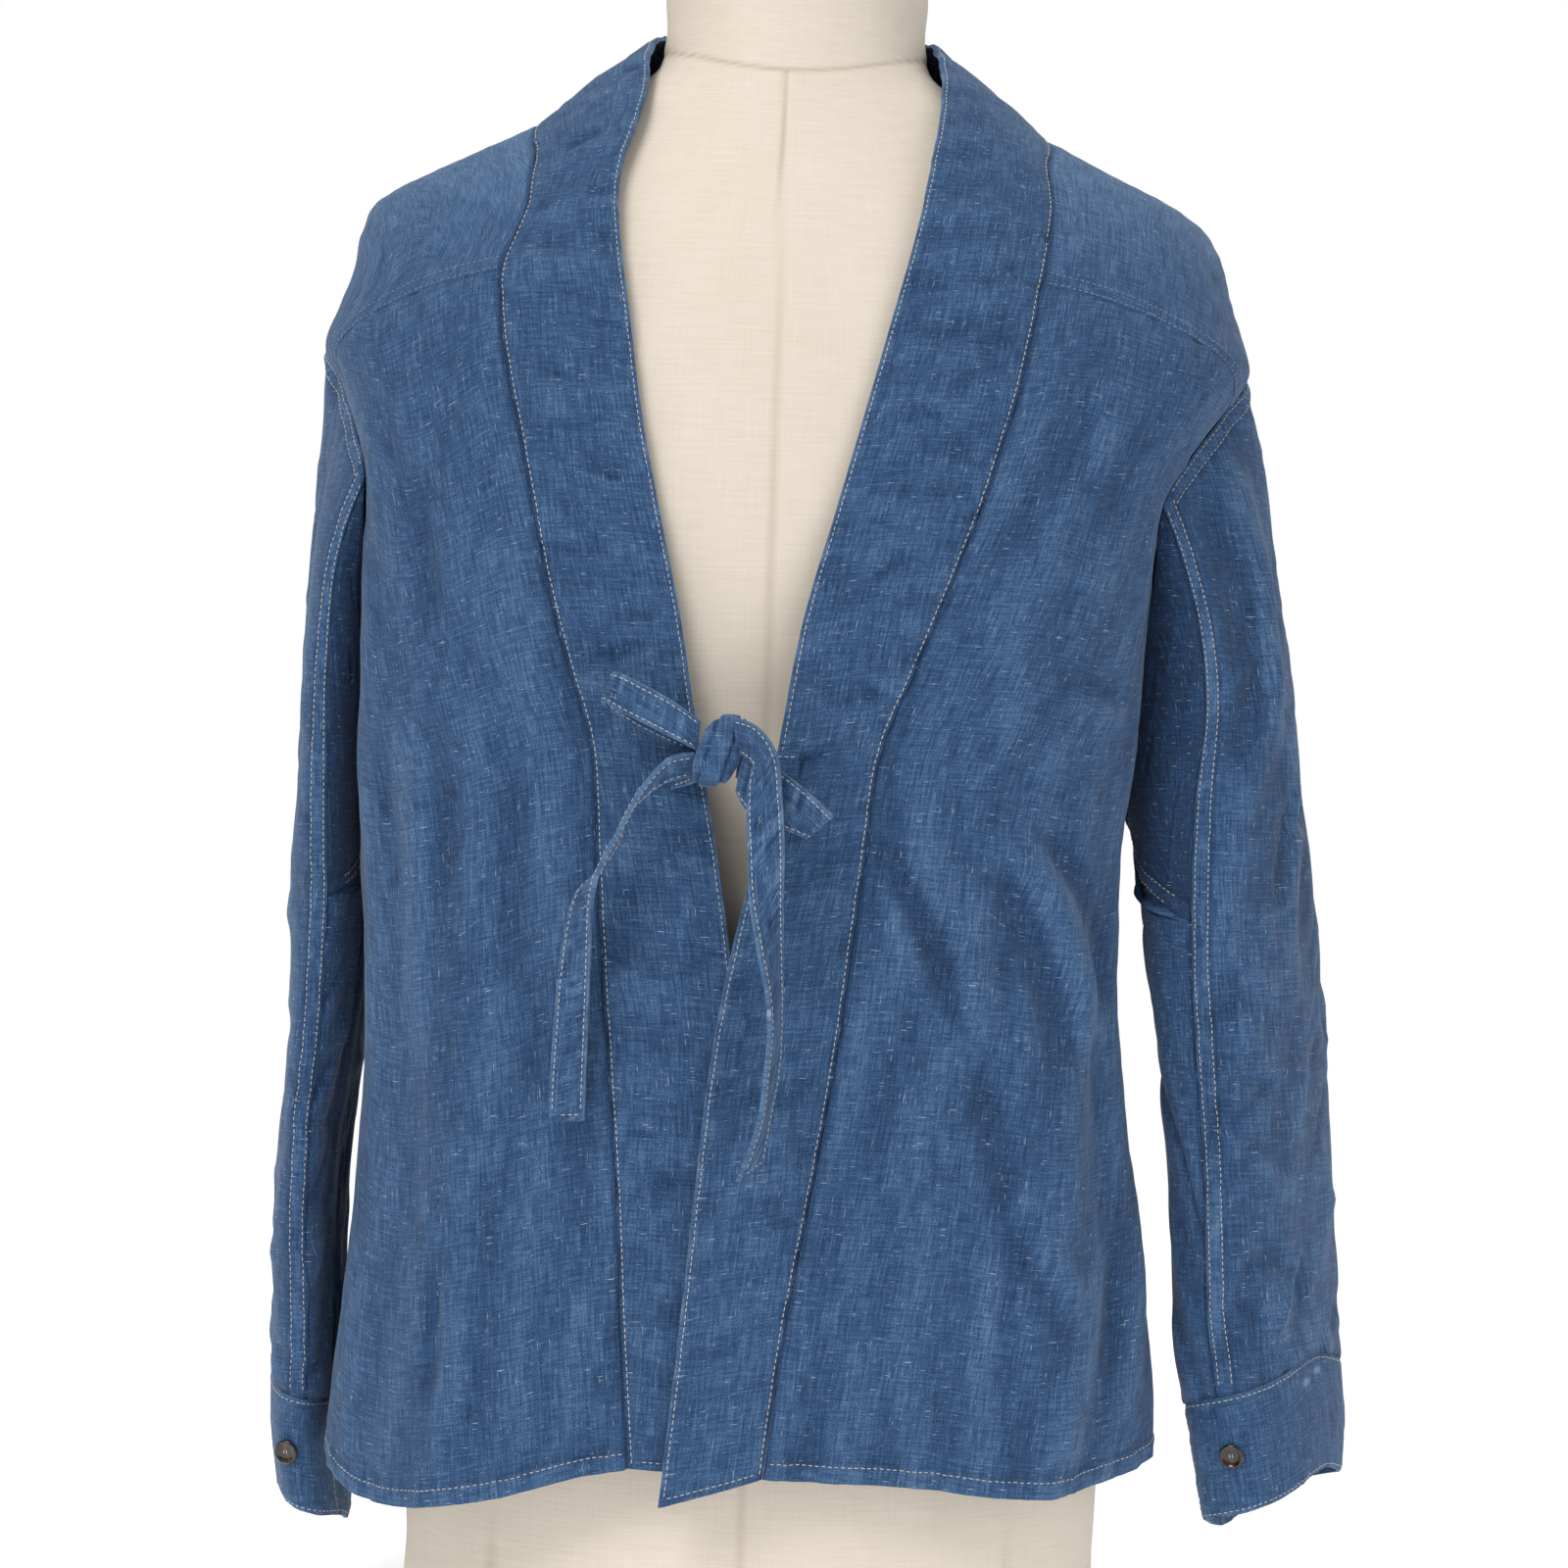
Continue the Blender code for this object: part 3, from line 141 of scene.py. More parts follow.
# Creases of the body seen from the front: start x, z, bend x, z, end x, z, half width, depth
FRONT_CREASES = (
    (0.0500, 0.3980, 0.0763, 0.3443, 0.0962, 0.2948, 0.0070, -0.0052),
    (0.0620, 0.4010, 0.0865, 0.3480, 0.1060, 0.2900, 0.0085, 0.0042),
    (0.0410, 0.3900, 0.0660, 0.3400, 0.0850, 0.3000, 0.0050, 0.0018),
    (0.1091, 0.3960, 0.1352, 0.3618, 0.1578, 0.2829, 0.0090, 0.0062),
    (0.1000, 0.3880, 0.1240, 0.3480, 0.1450, 0.2780, 0.0085, -0.0050),
    (0.1190, 0.4020, 0.1460, 0.3700, 0.1670, 0.3000, 0.0070, -0.0032),
    (0.0962, 0.3000, 0.1080, 0.2500, 0.1150, 0.2150, 0.0070, -0.0030),
    (0.1089, 0.2446, 0.1405, 0.1955, 0.1560, 0.1650, 0.0060, 0.0032),
    (0.1010, 0.2380, 0.1310, 0.1880, 0.1470, 0.1560, 0.0050, -0.0018),
    (0.1098, 0.2174, 0.1047, 0.1671, 0.1067, 0.1032, 0.0055, 0.0026),
    (0.1180, 0.2150, 0.1130, 0.1650, 0.1150, 0.1040, 0.0050, -0.0014),
    (0.0750, 0.2300, 0.0700, 0.1700, 0.0680, 0.1100, 0.0060, 0.0010),
    (0.1400, 0.1500, 0.1450, 0.1250, 0.1480, 0.1020, 0.0050, 0.0014),
    (0.1600, 0.2500, 0.1660, 0.1900, 0.1690, 0.1300, 0.0060, -0.0016),
    (0.1280, 0.4700, 0.1480, 0.4640, 0.1680, 0.4600, 0.0050, -0.0018),
    (0.1330, 0.4600, 0.1520, 0.4530, 0.1690, 0.4480, 0.0050, 0.0014),
    (0.1180, 0.5200, 0.1400, 0.5150, 0.1650, 0.5130, 0.0060, 0.0012),
    (0.1250, 0.5800, 0.1450, 0.5550, 0.1700, 0.5400, 0.0070, -0.0012),
    (0.0900, 0.5300, 0.1100, 0.4700, 0.1200, 0.4100, 0.0090, 0.0010),
    (-0.1490, 0.1920, -0.1480, 0.1600, -0.1490, 0.1180, 0.0042, -0.0028),
    (-0.1400, 0.1900, -0.1390, 0.1500, -0.1400, 0.1100, 0.0060, 0.0013),
    (-0.1250, 0.2400, -0.1240, 0.1700, -0.1260, 0.1000, 0.0060, -0.0010),
    (-0.1080, 0.2300, -0.1050, 0.1700, -0.1040, 0.1050, 0.0050, 0.0010),
    (-0.0850, 0.1500, -0.0820, 0.1350, -0.0800, 0.1150, 0.0035, 0.0014),
    (-0.0750, 0.1480, -0.0700, 0.1400, -0.0650, 0.1340, 0.0030, -0.0012),
    (-0.1680, 0.4600, -0.1650, 0.3600, -0.1600, 0.2600, 0.0080, 0.0014),
    (-0.1560, 0.4400, -0.1520, 0.3400, -0.1500, 0.2400, 0.0080, -0.0012),
    (-0.1350, 0.5600, -0.1300, 0.4800, -0.1250, 0.4000, 0.0100, 0.0010),
    (-0.1700, 0.5700, -0.1640, 0.5200, -0.1620, 0.4700, 0.0070, -0.0014),
    (-0.1230, 0.4300, -0.1180, 0.3700, -0.1150, 0.3000, 0.0080, -0.0009),
    (-0.1000, 0.4200, -0.0980, 0.3600, -0.0950, 0.2900, 0.0070, 0.0008),
)

# Creases of the back seen along +Y: start x, z, bend x, z, end x, z, half width, depth
BACK_CREASES = (
    (-0.1300, 0.5700, -0.0900, 0.4900, -0.0700, 0.4000, 0.0080, 0.0020),
    (-0.1180, 0.5700, -0.0760, 0.4900, -0.0550, 0.4100, 0.0070, -0.0016),
    (0.1350, 0.5650, 0.0980, 0.4800, 0.0850, 0.3900, 0.0080, 0.0022),
    (0.1200, 0.5600, 0.0850, 0.4750, 0.0700, 0.4000, 0.0070, -0.0016),
    (-0.0300, 0.4200, -0.0350, 0.3200, -0.0250, 0.2300, 0.0070, 0.0014),
    (0.0200, 0.4400, 0.0280, 0.3500, 0.0200, 0.2500, 0.0080, -0.0014),
    (0.1000, 0.2800, 0.1080, 0.2000, 0.1050, 0.1200, 0.0060, 0.0016),
    (-0.1050, 0.3000, -0.1120, 0.2200, -0.1080, 0.1300, 0.0060, -0.0016),
    (0.0500, 0.2200, 0.0560, 0.1700, 0.0540, 0.1100, 0.0050, 0.0014),
    (-0.0600, 0.2000, -0.0560, 0.1500, -0.0580, 0.1050, 0.0050, -0.0013),
)

# Creases of the bands seen from the front, in the same columns
BAND_CREASES = (
    (0.0525, 0.5883, 0.0640, 0.5880, 0.0770, 0.5850, 0.0018, -0.0016),
    (0.0530, 0.5930, 0.0660, 0.5935, 0.0780, 0.5900, 0.0022, 0.0009),
    (-0.0960, 0.4700, -0.0720, 0.4800, -0.0470, 0.4860, 0.0022, 0.0012),
    (-0.0930, 0.4640, -0.0700, 0.4740, -0.0500, 0.4800, 0.0020, -0.0012),
    (-0.0900, 0.4780, -0.0750, 0.4850, -0.0560, 0.4920, 0.0022, -0.0009),
    (0.0340, 0.4700, 0.0470, 0.4630, 0.0600, 0.4560, 0.0022, 0.0012),
    (0.0330, 0.4620, 0.0450, 0.4570, 0.0580, 0.4500, 0.0022, -0.0011),
    (0.0350, 0.5220, 0.0460, 0.5180, 0.0560, 0.5160, 0.0025, 0.0010),
    (-0.0690, 0.6240, -0.0720, 0.6150, -0.0700, 0.6050, 0.0022, -0.0010),
    (-0.0700, 0.5950, -0.0760, 0.5900, -0.0860, 0.5890, 0.0025, 0.0009),
    (-0.0650, 0.5600, -0.0780, 0.5560, -0.0900, 0.5570, 0.0025, -0.0009),
)

# Creases of each sleeve: angle and height at the start, bend and end, half width, depth
LEFT_SLEEVE_CREASES = (
    (60, 0.5900, 50, 0.5200, 45, 0.4300, 0.0090, 0.0038),
    (80, 0.5700, 70, 0.5000, 62, 0.4200, 0.0090, -0.0036),
    (40, 0.4600, 30, 0.4000, 35, 0.3200, 0.0080, -0.0018),
    (20, 0.5200, 10, 0.4000, 15, 0.2800, 0.0100, 0.0020),
    (75, 0.3600, 60, 0.3300, 30, 0.3100, 0.0060, 0.0016),
    (80, 0.3000, 60, 0.2800, 35, 0.2700, 0.0060, -0.0016),
    (70, 0.2500, 50, 0.2300, 20, 0.2250, 0.0060, 0.0016),
    (60, 0.2000, 40, 0.1850, 15, 0.1800, 0.0050, -0.0014),
    (-20, 0.5400, -30, 0.4300, -20, 0.3000, 0.0100, -0.0020),
    (-60, 0.5200, -70, 0.4000, -60, 0.2600, 0.0090, 0.0020),
    (-40, 0.3400, -60, 0.3000, -80, 0.2800, 0.0070, -0.0018),
    (-30, 0.2600, -50, 0.2200, -80, 0.2000, 0.0070, 0.0016),
    (110, 0.3300, 130, 0.2900, 160, 0.2700, 0.0060, -0.0014),
    (120, 0.2400, 140, 0.2100, 170, 0.1900, 0.0060, 0.0014),
    (160, 0.3500, 175, 0.3000, 170, 0.2400, 0.0070, -0.0014),
    (114, 0.2050, 114, 0.1700, 113, 0.1250, 0.0016, -0.0022),
)
RIGHT_SLEEVE_CREASES = (
    (60, 0.5800, 55, 0.5000, 60, 0.4200, 0.0070, 0.0018),
    (35, 0.5600, 30, 0.4700, 35, 0.3800, 0.0080, -0.0018),
    (70, 0.3700, 60, 0.3400, 45, 0.3300, 0.0060, 0.0014),
    (75, 0.3000, 60, 0.2800, 40, 0.2750, 0.0060, -0.0014),
    (70, 0.2300, 55, 0.2100, 35, 0.2050, 0.0060, 0.0014),
    (10, 0.5200, 0, 0.4000, 5, 0.2800, 0.0100, 0.0020),
    (-20, 0.5400, -30, 0.4300, -20, 0.3000, 0.0100, -0.0018),
    (-60, 0.5200, -70, 0.4000, -60, 0.2600, 0.0090, 0.0018),
    (-40, 0.3200, -60, 0.2900, -80, 0.2700, 0.0070, -0.0016),
    (-30, 0.2400, -50, 0.2100, -80, 0.1900, 0.0070, 0.0014),
    (120, 0.2600, 140, 0.2300, 170, 0.2100, 0.0060, 0.0012),
    (114, 0.1950, 114, 0.1600, 113, 0.1180, 0.0016, -0.0020),
)

# Cloth and gaps
CLOTH = 0.0013
BAND_CLOTH = 0.0022
CUFF_CLOTH = 0.0018
TIE_CLOTH = 0.0020
SEAM_GAP = 0.00005
GUSSET_BACK_GAP = 0.0008

# Heights above the table
UNDERARM_HEIGHT = 0.410
ARMHOLE_CORNER_HEIGHT = 0.603
ARMHOLE_CORNER_ANGLE = 81.0

# Sleeves and cuffs
CUFF_HEIGHT = 0.056
GUSSET_TIP_SHARE = 0.457
GUSSET_TIP_HEIGHT = 0.355
GUSSET_TIP_RISE = 0.045
SLEEVE_SEAM_ANGLE = {"left": 80.0, "right": 100.0}
CUFF_OVERLAP_ANGLE = 46.0
CUFF_OVERLAP_STEP = 0.0026
CUFF_PASS_ANGLE = 30.0
BUTTON_RADIUS = 0.0060
BUTTON_THICKNESS = 0.0026

# Steps of the grids
COLLAR_STEPS = (20, 18, 16, 14, 12, 12)
FRONT_STEPS = 14
FRONT_COLUMNS = 92
BAND_COLUMNS = 20
FORM_COLUMNS = 192
FORM_STEPS = 8
SLEEVE_ROWS = 170
GUSSET_ROWS = 78
CUFF_COLUMNS = 130
CUFF_ROWS = 22

# The form, ring by ring: height, half width, front depth, back depth, squareness in plan
FORM_SECTIONS = (
    (0.000, 0.1640, 0.1080, 0.1120, 2.4),
    (0.004, 0.1660, 0.1095, 0.1140, 2.4),
    (0.045, 0.1690, 0.1100, 0.1170, 2.4),
    (0.100, 0.1700, 0.1100, 0.1200, 2.4),
    (0.165, 0.1655, 0.1080, 0.1175, 2.4),
    (0.230, 0.1530, 0.1040, 0.1060, 2.3),
    (0.295, 0.1430, 0.1010, 0.0945, 2.3),
    (0.360, 0.1420, 0.1020, 0.0905, 2.3),
    (0.430, 0.1510, 0.1070, 0.0960, 2.3),
    (0.500, 0.1630, 0.1120, 0.1030, 2.4),
    (0.560, 0.1740, 0.1130, 0.1065, 2.5),
    (0.610, 0.1850, 0.1090, 0.1060, 2.4),
    (0.645, 0.1950, 0.1020, 0.1010, 2.2),
    (0.675, 0.1990, 0.0915, 0.0920, 2.1),
    (0.695, 0.1935, 0.0820, 0.0850, 2.1),
    (0.704, 0.1800, 0.0775, 0.0810, 2.1),
    (0.715, 0.1612, 0.0715, 0.0760, 2.1),
    (0.727, 0.1360, 0.0660, 0.0710, 2.1),
    (0.740, 0.1095, 0.0620, 0.0660, 2.1),
    (0.752, 0.0860, 0.0595, 0.0620, 2.0),
    (0.764, 0.0695, 0.0580, 0.0590, 2.0),
    (0.780, 0.0645, 0.0575, 0.0575, 2.0),
    (0.812, 0.0635, 0.0570, 0.0570, 2.0),
    (0.819, 0.0605, 0.0540, 0.0540, 2.0),
    (0.823, 0.0500, 0.0440, 0.0440, 2.0),
)

# The jacket's body, ring by ring: height, half width at the wearer's right and left,
# front depth, back depth, squareness in plan
BODY_SECTIONS = (
    (0.070, 0.2000, 0.1900, 0.1330, 0.1340, 3.6),
    (0.165, 0.1935, 0.1850, 0.1305, 0.1300, 3.5),
    (0.220, 0.1885, 0.1780, 0.1290, 0.1250, 3.4),
    (0.280, 0.1875, 0.1695, 0.1280, 0.1190, 3.3),
    (0.335, 0.1905, 0.1650, 0.1270, 0.1140, 3.2),
    (0.390, 0.1945, 0.1665, 0.1265, 0.1120, 3.2),
    (0.450, 0.1970, 0.1735, 0.1260, 0.1120, 3.2),
    (0.510, 0.1995, 0.1805, 0.1250, 0.1130, 3.2),
    (0.553, 0.2035, 0.1875, 0.1240, 0.1140, 3.2),
    (0.577, 0.2085, 0.1995, 0.1220, 0.1150, 3.1),
    (0.600, 0.2160, 0.2150, 0.1200, 0.1150, 2.9),
    (0.622, 0.2262, 0.2280, 0.1165, 0.1130, 2.6),
    (0.642, 0.2205, 0.2235, 0.1120, 0.1100, 2.4),
    (0.661, 0.2145, 0.2180, 0.1060, 0.1060, 2.3),
    (0.680, 0.2115, 0.2130, 0.0975, 0.0995, 2.2),
    (0.697, 0.2025, 0.2010, 0.0880, 0.0920, 2.1),
    (0.706, 0.1870, 0.1865, 0.0825, 0.0870, 2.1),
    (0.717, 0.1645, 0.1635, 0.0755, 0.0815, 2.1),
    (0.729, 0.1400, 0.1395, 0.0695, 0.0760, 2.1),
    (0.742, 0.1135, 0.1135, 0.0650, 0.0705, 2.1),
    (0.756, 0.0900, 0.0900, 0.0630, 0.0680, 2.1),
)

# Height of the hem's edge by angle, the wearer's right below 0
HEM_LINE = (
    (-180, 0.0920),
    (-120, 0.0950),
    (-90, 0.1020),
    (-78, 0.0920),
    (-64, 0.0760),
    (-45, 0.0830),
    (-30, 0.0975),
    (-20, 0.1020),
    (0, 0.0990),
    (30, 0.0965),
    (45, 0.0920),
    (62, 0.0960),
    (75, 0.1030),
    (90, 0.1070),
    (120, 0.0990),
    (180, 0.0920),
)

# The largest folds of the body: angle at the hem, angle at the top, low end, high end,
# width in degrees, depth outward
BODY_FOLDS = (
    (-74, -71, 0.085, 0.66, 7.0, 0.0075),
    (-47, -54, 0.085, 0.42, 7.0, 0.0040),
    (-60, -62, 0.085, 0.36, 6.0, -0.0040),
    (47, 60, 0.085, 0.44, 6.0, 0.0045),
    (58, 66, 0.085, 0.36, 5.0, -0.0045),
    (72, 71, 0.085, 0.60, 6.0, 0.0060),
    (34, 44, 0.085, 0.34, 6.0, -0.0030),
    (118, 112, 0.085, 0.45, 8.0, 0.0040),
    (135, 128, 0.085, 0.40, 8.0, -0.0040),
    (152, 146, 0.085, 0.46, 8.0, 0.0060),
    (172, 170, 0.085, 0.36, 8.0, -0.0040),
    (190, 194, 0.085, 0.44, 8.0, 0.0055),
    (212, 214, 0.085, 0.38, 8.0, -0.0045),
    (232, 238, 0.085, 0.46, 8.0, 0.0045),
)

FOLD_FADE_SHARE = 0.45

# The armhole's front edge from the underarm up to the yoke: angle, height
ARMHOLE_EDGE = (
    (90.0, UNDERARM_HEIGHT),
    (84.0, 0.450),
    (77.5, 0.503),
    (72.0, 0.553),
    (76.5, 0.579),
    (ARMHOLE_CORNER_ANGLE, ARMHOLE_CORNER_HEIGHT),
)
GUSSET_CORNER_ROW = 3

# The armhole's top, in the yoke, from the back corner to the front corner: angle, height
ARMHOLE_TOP = (
    (180.0 - ARMHOLE_CORNER_ANGLE, ARMHOLE_CORNER_HEIGHT),
    (93.0, 0.6205),
    (87.0, 0.6205),
    (ARMHOLE_CORNER_ANGLE, ARMHOLE_CORNER_HEIGHT),
)

# The yoke's back seam from the centre back to the armhole: angle, height
BACK_YOKE_SEAM = (
    (180.0, 0.620),
    (155.0, 0.620),
    (128.0, 0.615),
    (180.0 - ARMHOLE_CORNER_ANGLE, ARMHOLE_CORNER_HEIGHT),
)
FRONT_YOKE_BOW = 0.010
YOKE_BOW_FADE = 1.5

# The collar band from the centre back to the chest: inner edge x, y, z, seam angle, seam height
COLLAR_SECTIONS = (
    (0.0000, 0.0665, 0.7930, 180.0, 0.7440),
    (0.0345, 0.0590, 0.7930, 150.0, 0.7450),
    (0.0585, 0.0335, 0.7900, 119.0, 0.7440),
    (0.0680, -0.0010, 0.7840, 90.0, 0.7410),
    (0.0715, -0.0330, 0.7680, 68.0, 0.7180),
    (0.0715, -0.0600, 0.7420, 57.5, 0.6860),
)

# The band down each front: inner edge x, y, z, seam x, seam height
LEFT_BAND_SECTIONS = (
    (0.0660, -0.0850, 0.7080, 0.1185, 0.6510),
    (0.0590, -0.0990, 0.6720, 0.1120, 0.6170),
    (0.0485, -0.1110, 0.6300, 0.1030, 0.5800),
    (0.0370, -0.1175, 0.5850, 0.0915, 0.5410),
    (0.0255, -0.1205, 0.5410, 0.0775, 0.5030),
    (0.0120, -0.1265, 0.4890, 0.0640, 0.4680),
    (0.0025, -0.1325, 0.4300, 0.0495, 0.4300),
    (-0.0060, -0.1340, 0.3820, 0.0440, 0.3850),
    (-0.0165, -0.1345, 0.3330, 0.0385, 0.3350),
    (-0.0240, -0.1350, 0.2840, 0.0325, 0.2840),
    (-0.0290, -0.1355, 0.2280, 0.0240, 0.2280),
    (-0.0340, -0.1370, 0.1650, 0.0135, 0.1650),
    (-0.0408, -0.1390, 0.0860, 0.0056, 0.0990),
)
RIGHT_BAND_SECTIONS = (
    (-0.0805, -0.0830, 0.7030, -0.1338, 0.6510),
    (-0.0795, -0.0960, 0.6720, -0.1310, 0.6180),
    (-0.0730, -0.1080, 0.6320, -0.1235, 0.5830),
    (-0.0655, -0.1150, 0.5850, -0.1150, 0.5450),
    (-0.0560, -0.1185, 0.5410, -0.1070, 0.5080),
    (-0.0445, -0.1220, 0.4910, -0.0955, 0.4680),
    (-0.0335, -0.1260, 0.4300, -0.0835, 0.4300),
    (-0.0240, -0.1275, 0.3820, -0.0795, 0.3850),
    (-0.0160, -0.1285, 0.3330, -0.0755, 0.3350),
    (-0.0095, -0.1290, 0.2840, -0.0708, 0.2840),
    (-0.0085, -0.1285, 0.2280, -0.0655, 0.2280),
    (-0.0115, -0.1290, 0.1650, -0.0610, 0.1650),
    (-0.0140, -0.1300, 0.1000, -0.0556, 0.1020),
)
BAND_CROWN = 0.0012

# Each sleeve as a hanging tube: height, axis x, axis y, half length and half width of
# its flattened ring, turn towards the front in degrees
LEFT_SLEEVE_SECTIONS = (
    (0.060, 0.2565, -0.012, 0.0560, 0.0255, 30),
    (0.100, 0.2540, -0.010, 0.0595, 0.0295, 32),
    (0.150, 0.2480, -0.008, 0.0640, 0.0300, 33),
    (0.230, 0.2430, -0.004, 0.0650, 0.0285, 33),
    (0.290, 0.2370, 0.000, 0.0650, 0.0320, 32),
    (0.350, 0.2295, 0.002, 0.0650, 0.0360, 29),
    (0.410, 0.2230, 0.003, 0.0635, 0.0390, 22),
    (0.460, 0.2200, 0.003, 0.0615, 0.0378, 15),
    (0.530, 0.2125, 0.003, 0.0620, 0.0358, 10),
    (0.580, 0.2035, 0.002, 0.0640, 0.0358, 6),
    (0.630, 0.1940, 0.002, 0.0650, 0.0340, 2),
)
RIGHT_SLEEVE_SECTIONS = (
    (0.050, 0.2155, 0.006, 0.0560, 0.0160, 4),
    (0.090, 0.2220, 0.008, 0.0600, 0.0165, 4),
    (0.140, 0.2225, 0.010, 0.0700, 0.0165, 3),
    (0.180, 0.2235, 0.012, 0.0720, 0.0155, 2),
    (0.240, 0.2215, 0.014, 0.0720, 0.0145, 0),
    (0.290, 0.2175, 0.014, 0.0720, 0.0160, 0),
    (0.350, 0.2160, 0.012, 0.0720, 0.0182, 0),
    (0.410, 0.2163, 0.010, 0.0720, 0.0168, 0),
    (0.470, 0.2160, 0.008, 0.0710, 0.0160, 0),
    (0.530, 0.2170, 0.006, 0.0700, 0.0162, 0),
    (0.580, 0.2090, 0.004, 0.0690, 0.0208, 0),
    (0.630, 0.1950, 0.004, 0.0660, 0.0320, 0),
)
SLEEVE_SQUARENESS = 2.4
SLEEVE_FLATNESS = 0.42
OUTER_BLEND_SHARE = 0.55
UNDERARM_BLEND_SHARE = 0.24
SLEEVE_CLEARANCE = 0.0015
SLEEVE_TURN_DELAY = 1.5

# The cuff seam of each sleeve: height at the axis, and how much higher its outer side is
CUFF_SEAM = {"left": (0.128, 0.034), "right": (0.114, 0.030)}
PLACKET_ANGLE = {"left": 110.0, "right": 112.0}

# The ties, section by section: one edge x, y, z and the other edge x, y, z
RIGHT_LOOP = (
    (-0.0325, -0.1500, 0.4420, -0.0345, -0.1480, 0.4290),
    (-0.0460, -0.1530, 0.4510, -0.0490, -0.1510, 0.4360),
    (-0.0620, -0.1535, 0.4590, -0.0670, -0.1515, 0.4445),
    (-0.0700, -0.1510, 0.4625, -0.0755, -0.1490, 0.4490),
    (-0.0720, -0.1470, 0.4620, -0.0765, -0.1440, 0.4480),
    (-0.0690, -0.1430, 0.4590, -0.0725, -0.1400, 0.4450),
    (-0.0560, -0.1405, 0.4510, -0.0590, -0.1385, 0.4370),
    (-0.0330, -0.1420, 0.4400, -0.0350, -0.1400, 0.4270),
)
LEFT_LOOP = (
    (-0.0128, -0.1515, 0.4300, -0.0157, -0.1500, 0.4110),
    (-0.0010, -0.1545, 0.4240, -0.0100, -0.1520, 0.4020),
    (0.0130, -0.1560, 0.4145, 0.0030, -0.1530, 0.3960),
    (0.0245, -0.1535, 0.4045, 0.0140, -0.1505, 0.3920),
    (0.0275, -0.1485, 0.4020, 0.0160, -0.1460, 0.3915),
    (0.0240, -0.1440, 0.4060, 0.0130, -0.1420, 0.3940),
    (0.0110, -0.1420, 0.4150, 0.0010, -0.1410, 0.4000),
    (-0.0122, -0.1468, 0.4280, -0.0148, -0.1455, 0.4120),
)
RIGHT_TAIL = (
    (-0.0350, -0.1500, 0.4275, -0.0367, -0.1430, 0.4175),
    (-0.0470, -0.1520, 0.4240, -0.0500, -0.1425, 0.4130),
    (-0.0585, -0.1500, 0.4100, -0.0640, -0.1415, 0.4000),
    (-0.0665, -0.1490, 0.3940, -0.0700, -0.1400, 0.3840),
    (-0.0745, -0.1510, 0.3780, -0.0785, -0.1385, 0.3710),
    (-0.0785, -0.1480, 0.3610, -0.0880, -0.1390, 0.3590),
    (-0.0792, -0.1420, 0.3320, -0.0932, -0.1370, 0.3310),
    (-0.0795, -0.1400, 0.3000, -0.0950, -0.1365, 0.3000),
    (-0.0798, -0.1390, 0.2800, -0.0960, -0.1365, 0.2800),
    (-0.0798, -0.1390, 0.2600, -0.0962, -0.1370, 0.2590),
)
LEFT_TAIL = (
    (-0.0180, -0.1575, 0.4440, -0.0140, -0.1567, 0.4280),
    (-0.0070, -0.1640, 0.4400, -0.0080, -0.1640, 0.4230),
    (0.0020, -0.1680, 0.4280, -0.0100, -0.1620, 0.4160),
    (0.0050, -0.1660, 0.4080, -0.0105, -0.1610, 0.4030),
    (0.0068, -0.1610, 0.3850, -0.0095, -0.1590, 0.3830),
    (0.0070, -0.1550, 0.3630, -0.0082, -0.1590, 0.3630),
    (0.0070, -0.1500, 0.3400, -0.0035, -0.1620, 0.3400),
    (0.0074, -0.1470, 0.3140, 0.0022, -0.1625, 0.3140),
    (0.0074, -0.1465, 0.2900, 0.0016, -0.1620, 0.2900),
    (0.0036, -0.1450, 0.2640, -0.0010, -0.1605, 0.2640),
    (0.0010, -0.1460, 0.2430, -0.0095, -0.1580, 0.2370),
)
RIGHT_STEM = (
    (-0.0460, -0.1280, 0.4270, -0.0455, -0.1280, 0.4110),
    (-0.0400, -0.1310, 0.4280, -0.0400, -0.1310, 0.4125),
    (-0.0320, -0.1405, 0.4270, -0.0342, -0.1405, 0.4150),
)
LEFT_STEM = (
    (0.0120, -0.1337, 0.4290, 0.0120, -0.1337, 0.4130),
    (0.0010, -0.1352, 0.4290, 0.0010, -0.1352, 0.4130),
    (-0.0080, -0.1385, 0.4290, -0.0095, -0.1385, 0.4150),
    (-0.0140, -0.1420, 0.4290, -0.0160, -0.1420, 0.4170),
)
TIE_STEPS = 10
TIE_COLUMNS = 8

# The knot: centre, half sizes and lean
KNOT_CENTRE = (-0.0235, -0.1480, 0.4290)
KNOT_HALF_SIZE = (0.0105, 0.0090, 0.0165)
KNOT_LEAN = 0.30

TIES = {
    "tie_loop_right": RIGHT_LOOP,
    "tie_loop_left": LEFT_LOOP,
    "tie_tail_right": RIGHT_TAIL,
    "tie_tail_left": LEFT_TAIL,
    "tie_stem_right": RIGHT_STEM,
    "tie_stem_left": LEFT_STEM,
}


def hermite(low, high, low_slope, high_slope, share):
    """Cubic between two values or points with the given slopes."""
    square = share * share
    cube = square * share
    return ((2 * cube - 3 * square + 1) * low + (cube - 2 * square + share) * low_slope
            + (3 * square - 2 * cube) * high + (cube - square) * high_slope)


def read_rows(rows, places):
    """Points on a smooth line through the rows, at places counted in rows."""
    rows = np.asarray(rows, dtype=float)
    places = np.asarray(places, dtype=float)
    last = len(rows) - 1
    start = np.clip(np.floor(places).astype(int), 0, last - 1)
    share = (places - start)[..., None]
    before = rows[np.maximum(start - 1, 0)]
    low = rows[start]
    high = rows[start + 1]
    after = rows[np.minimum(start + 2, last)]
    return hermite(low, high, (high - before) / 2, (after - low) / 2, share)


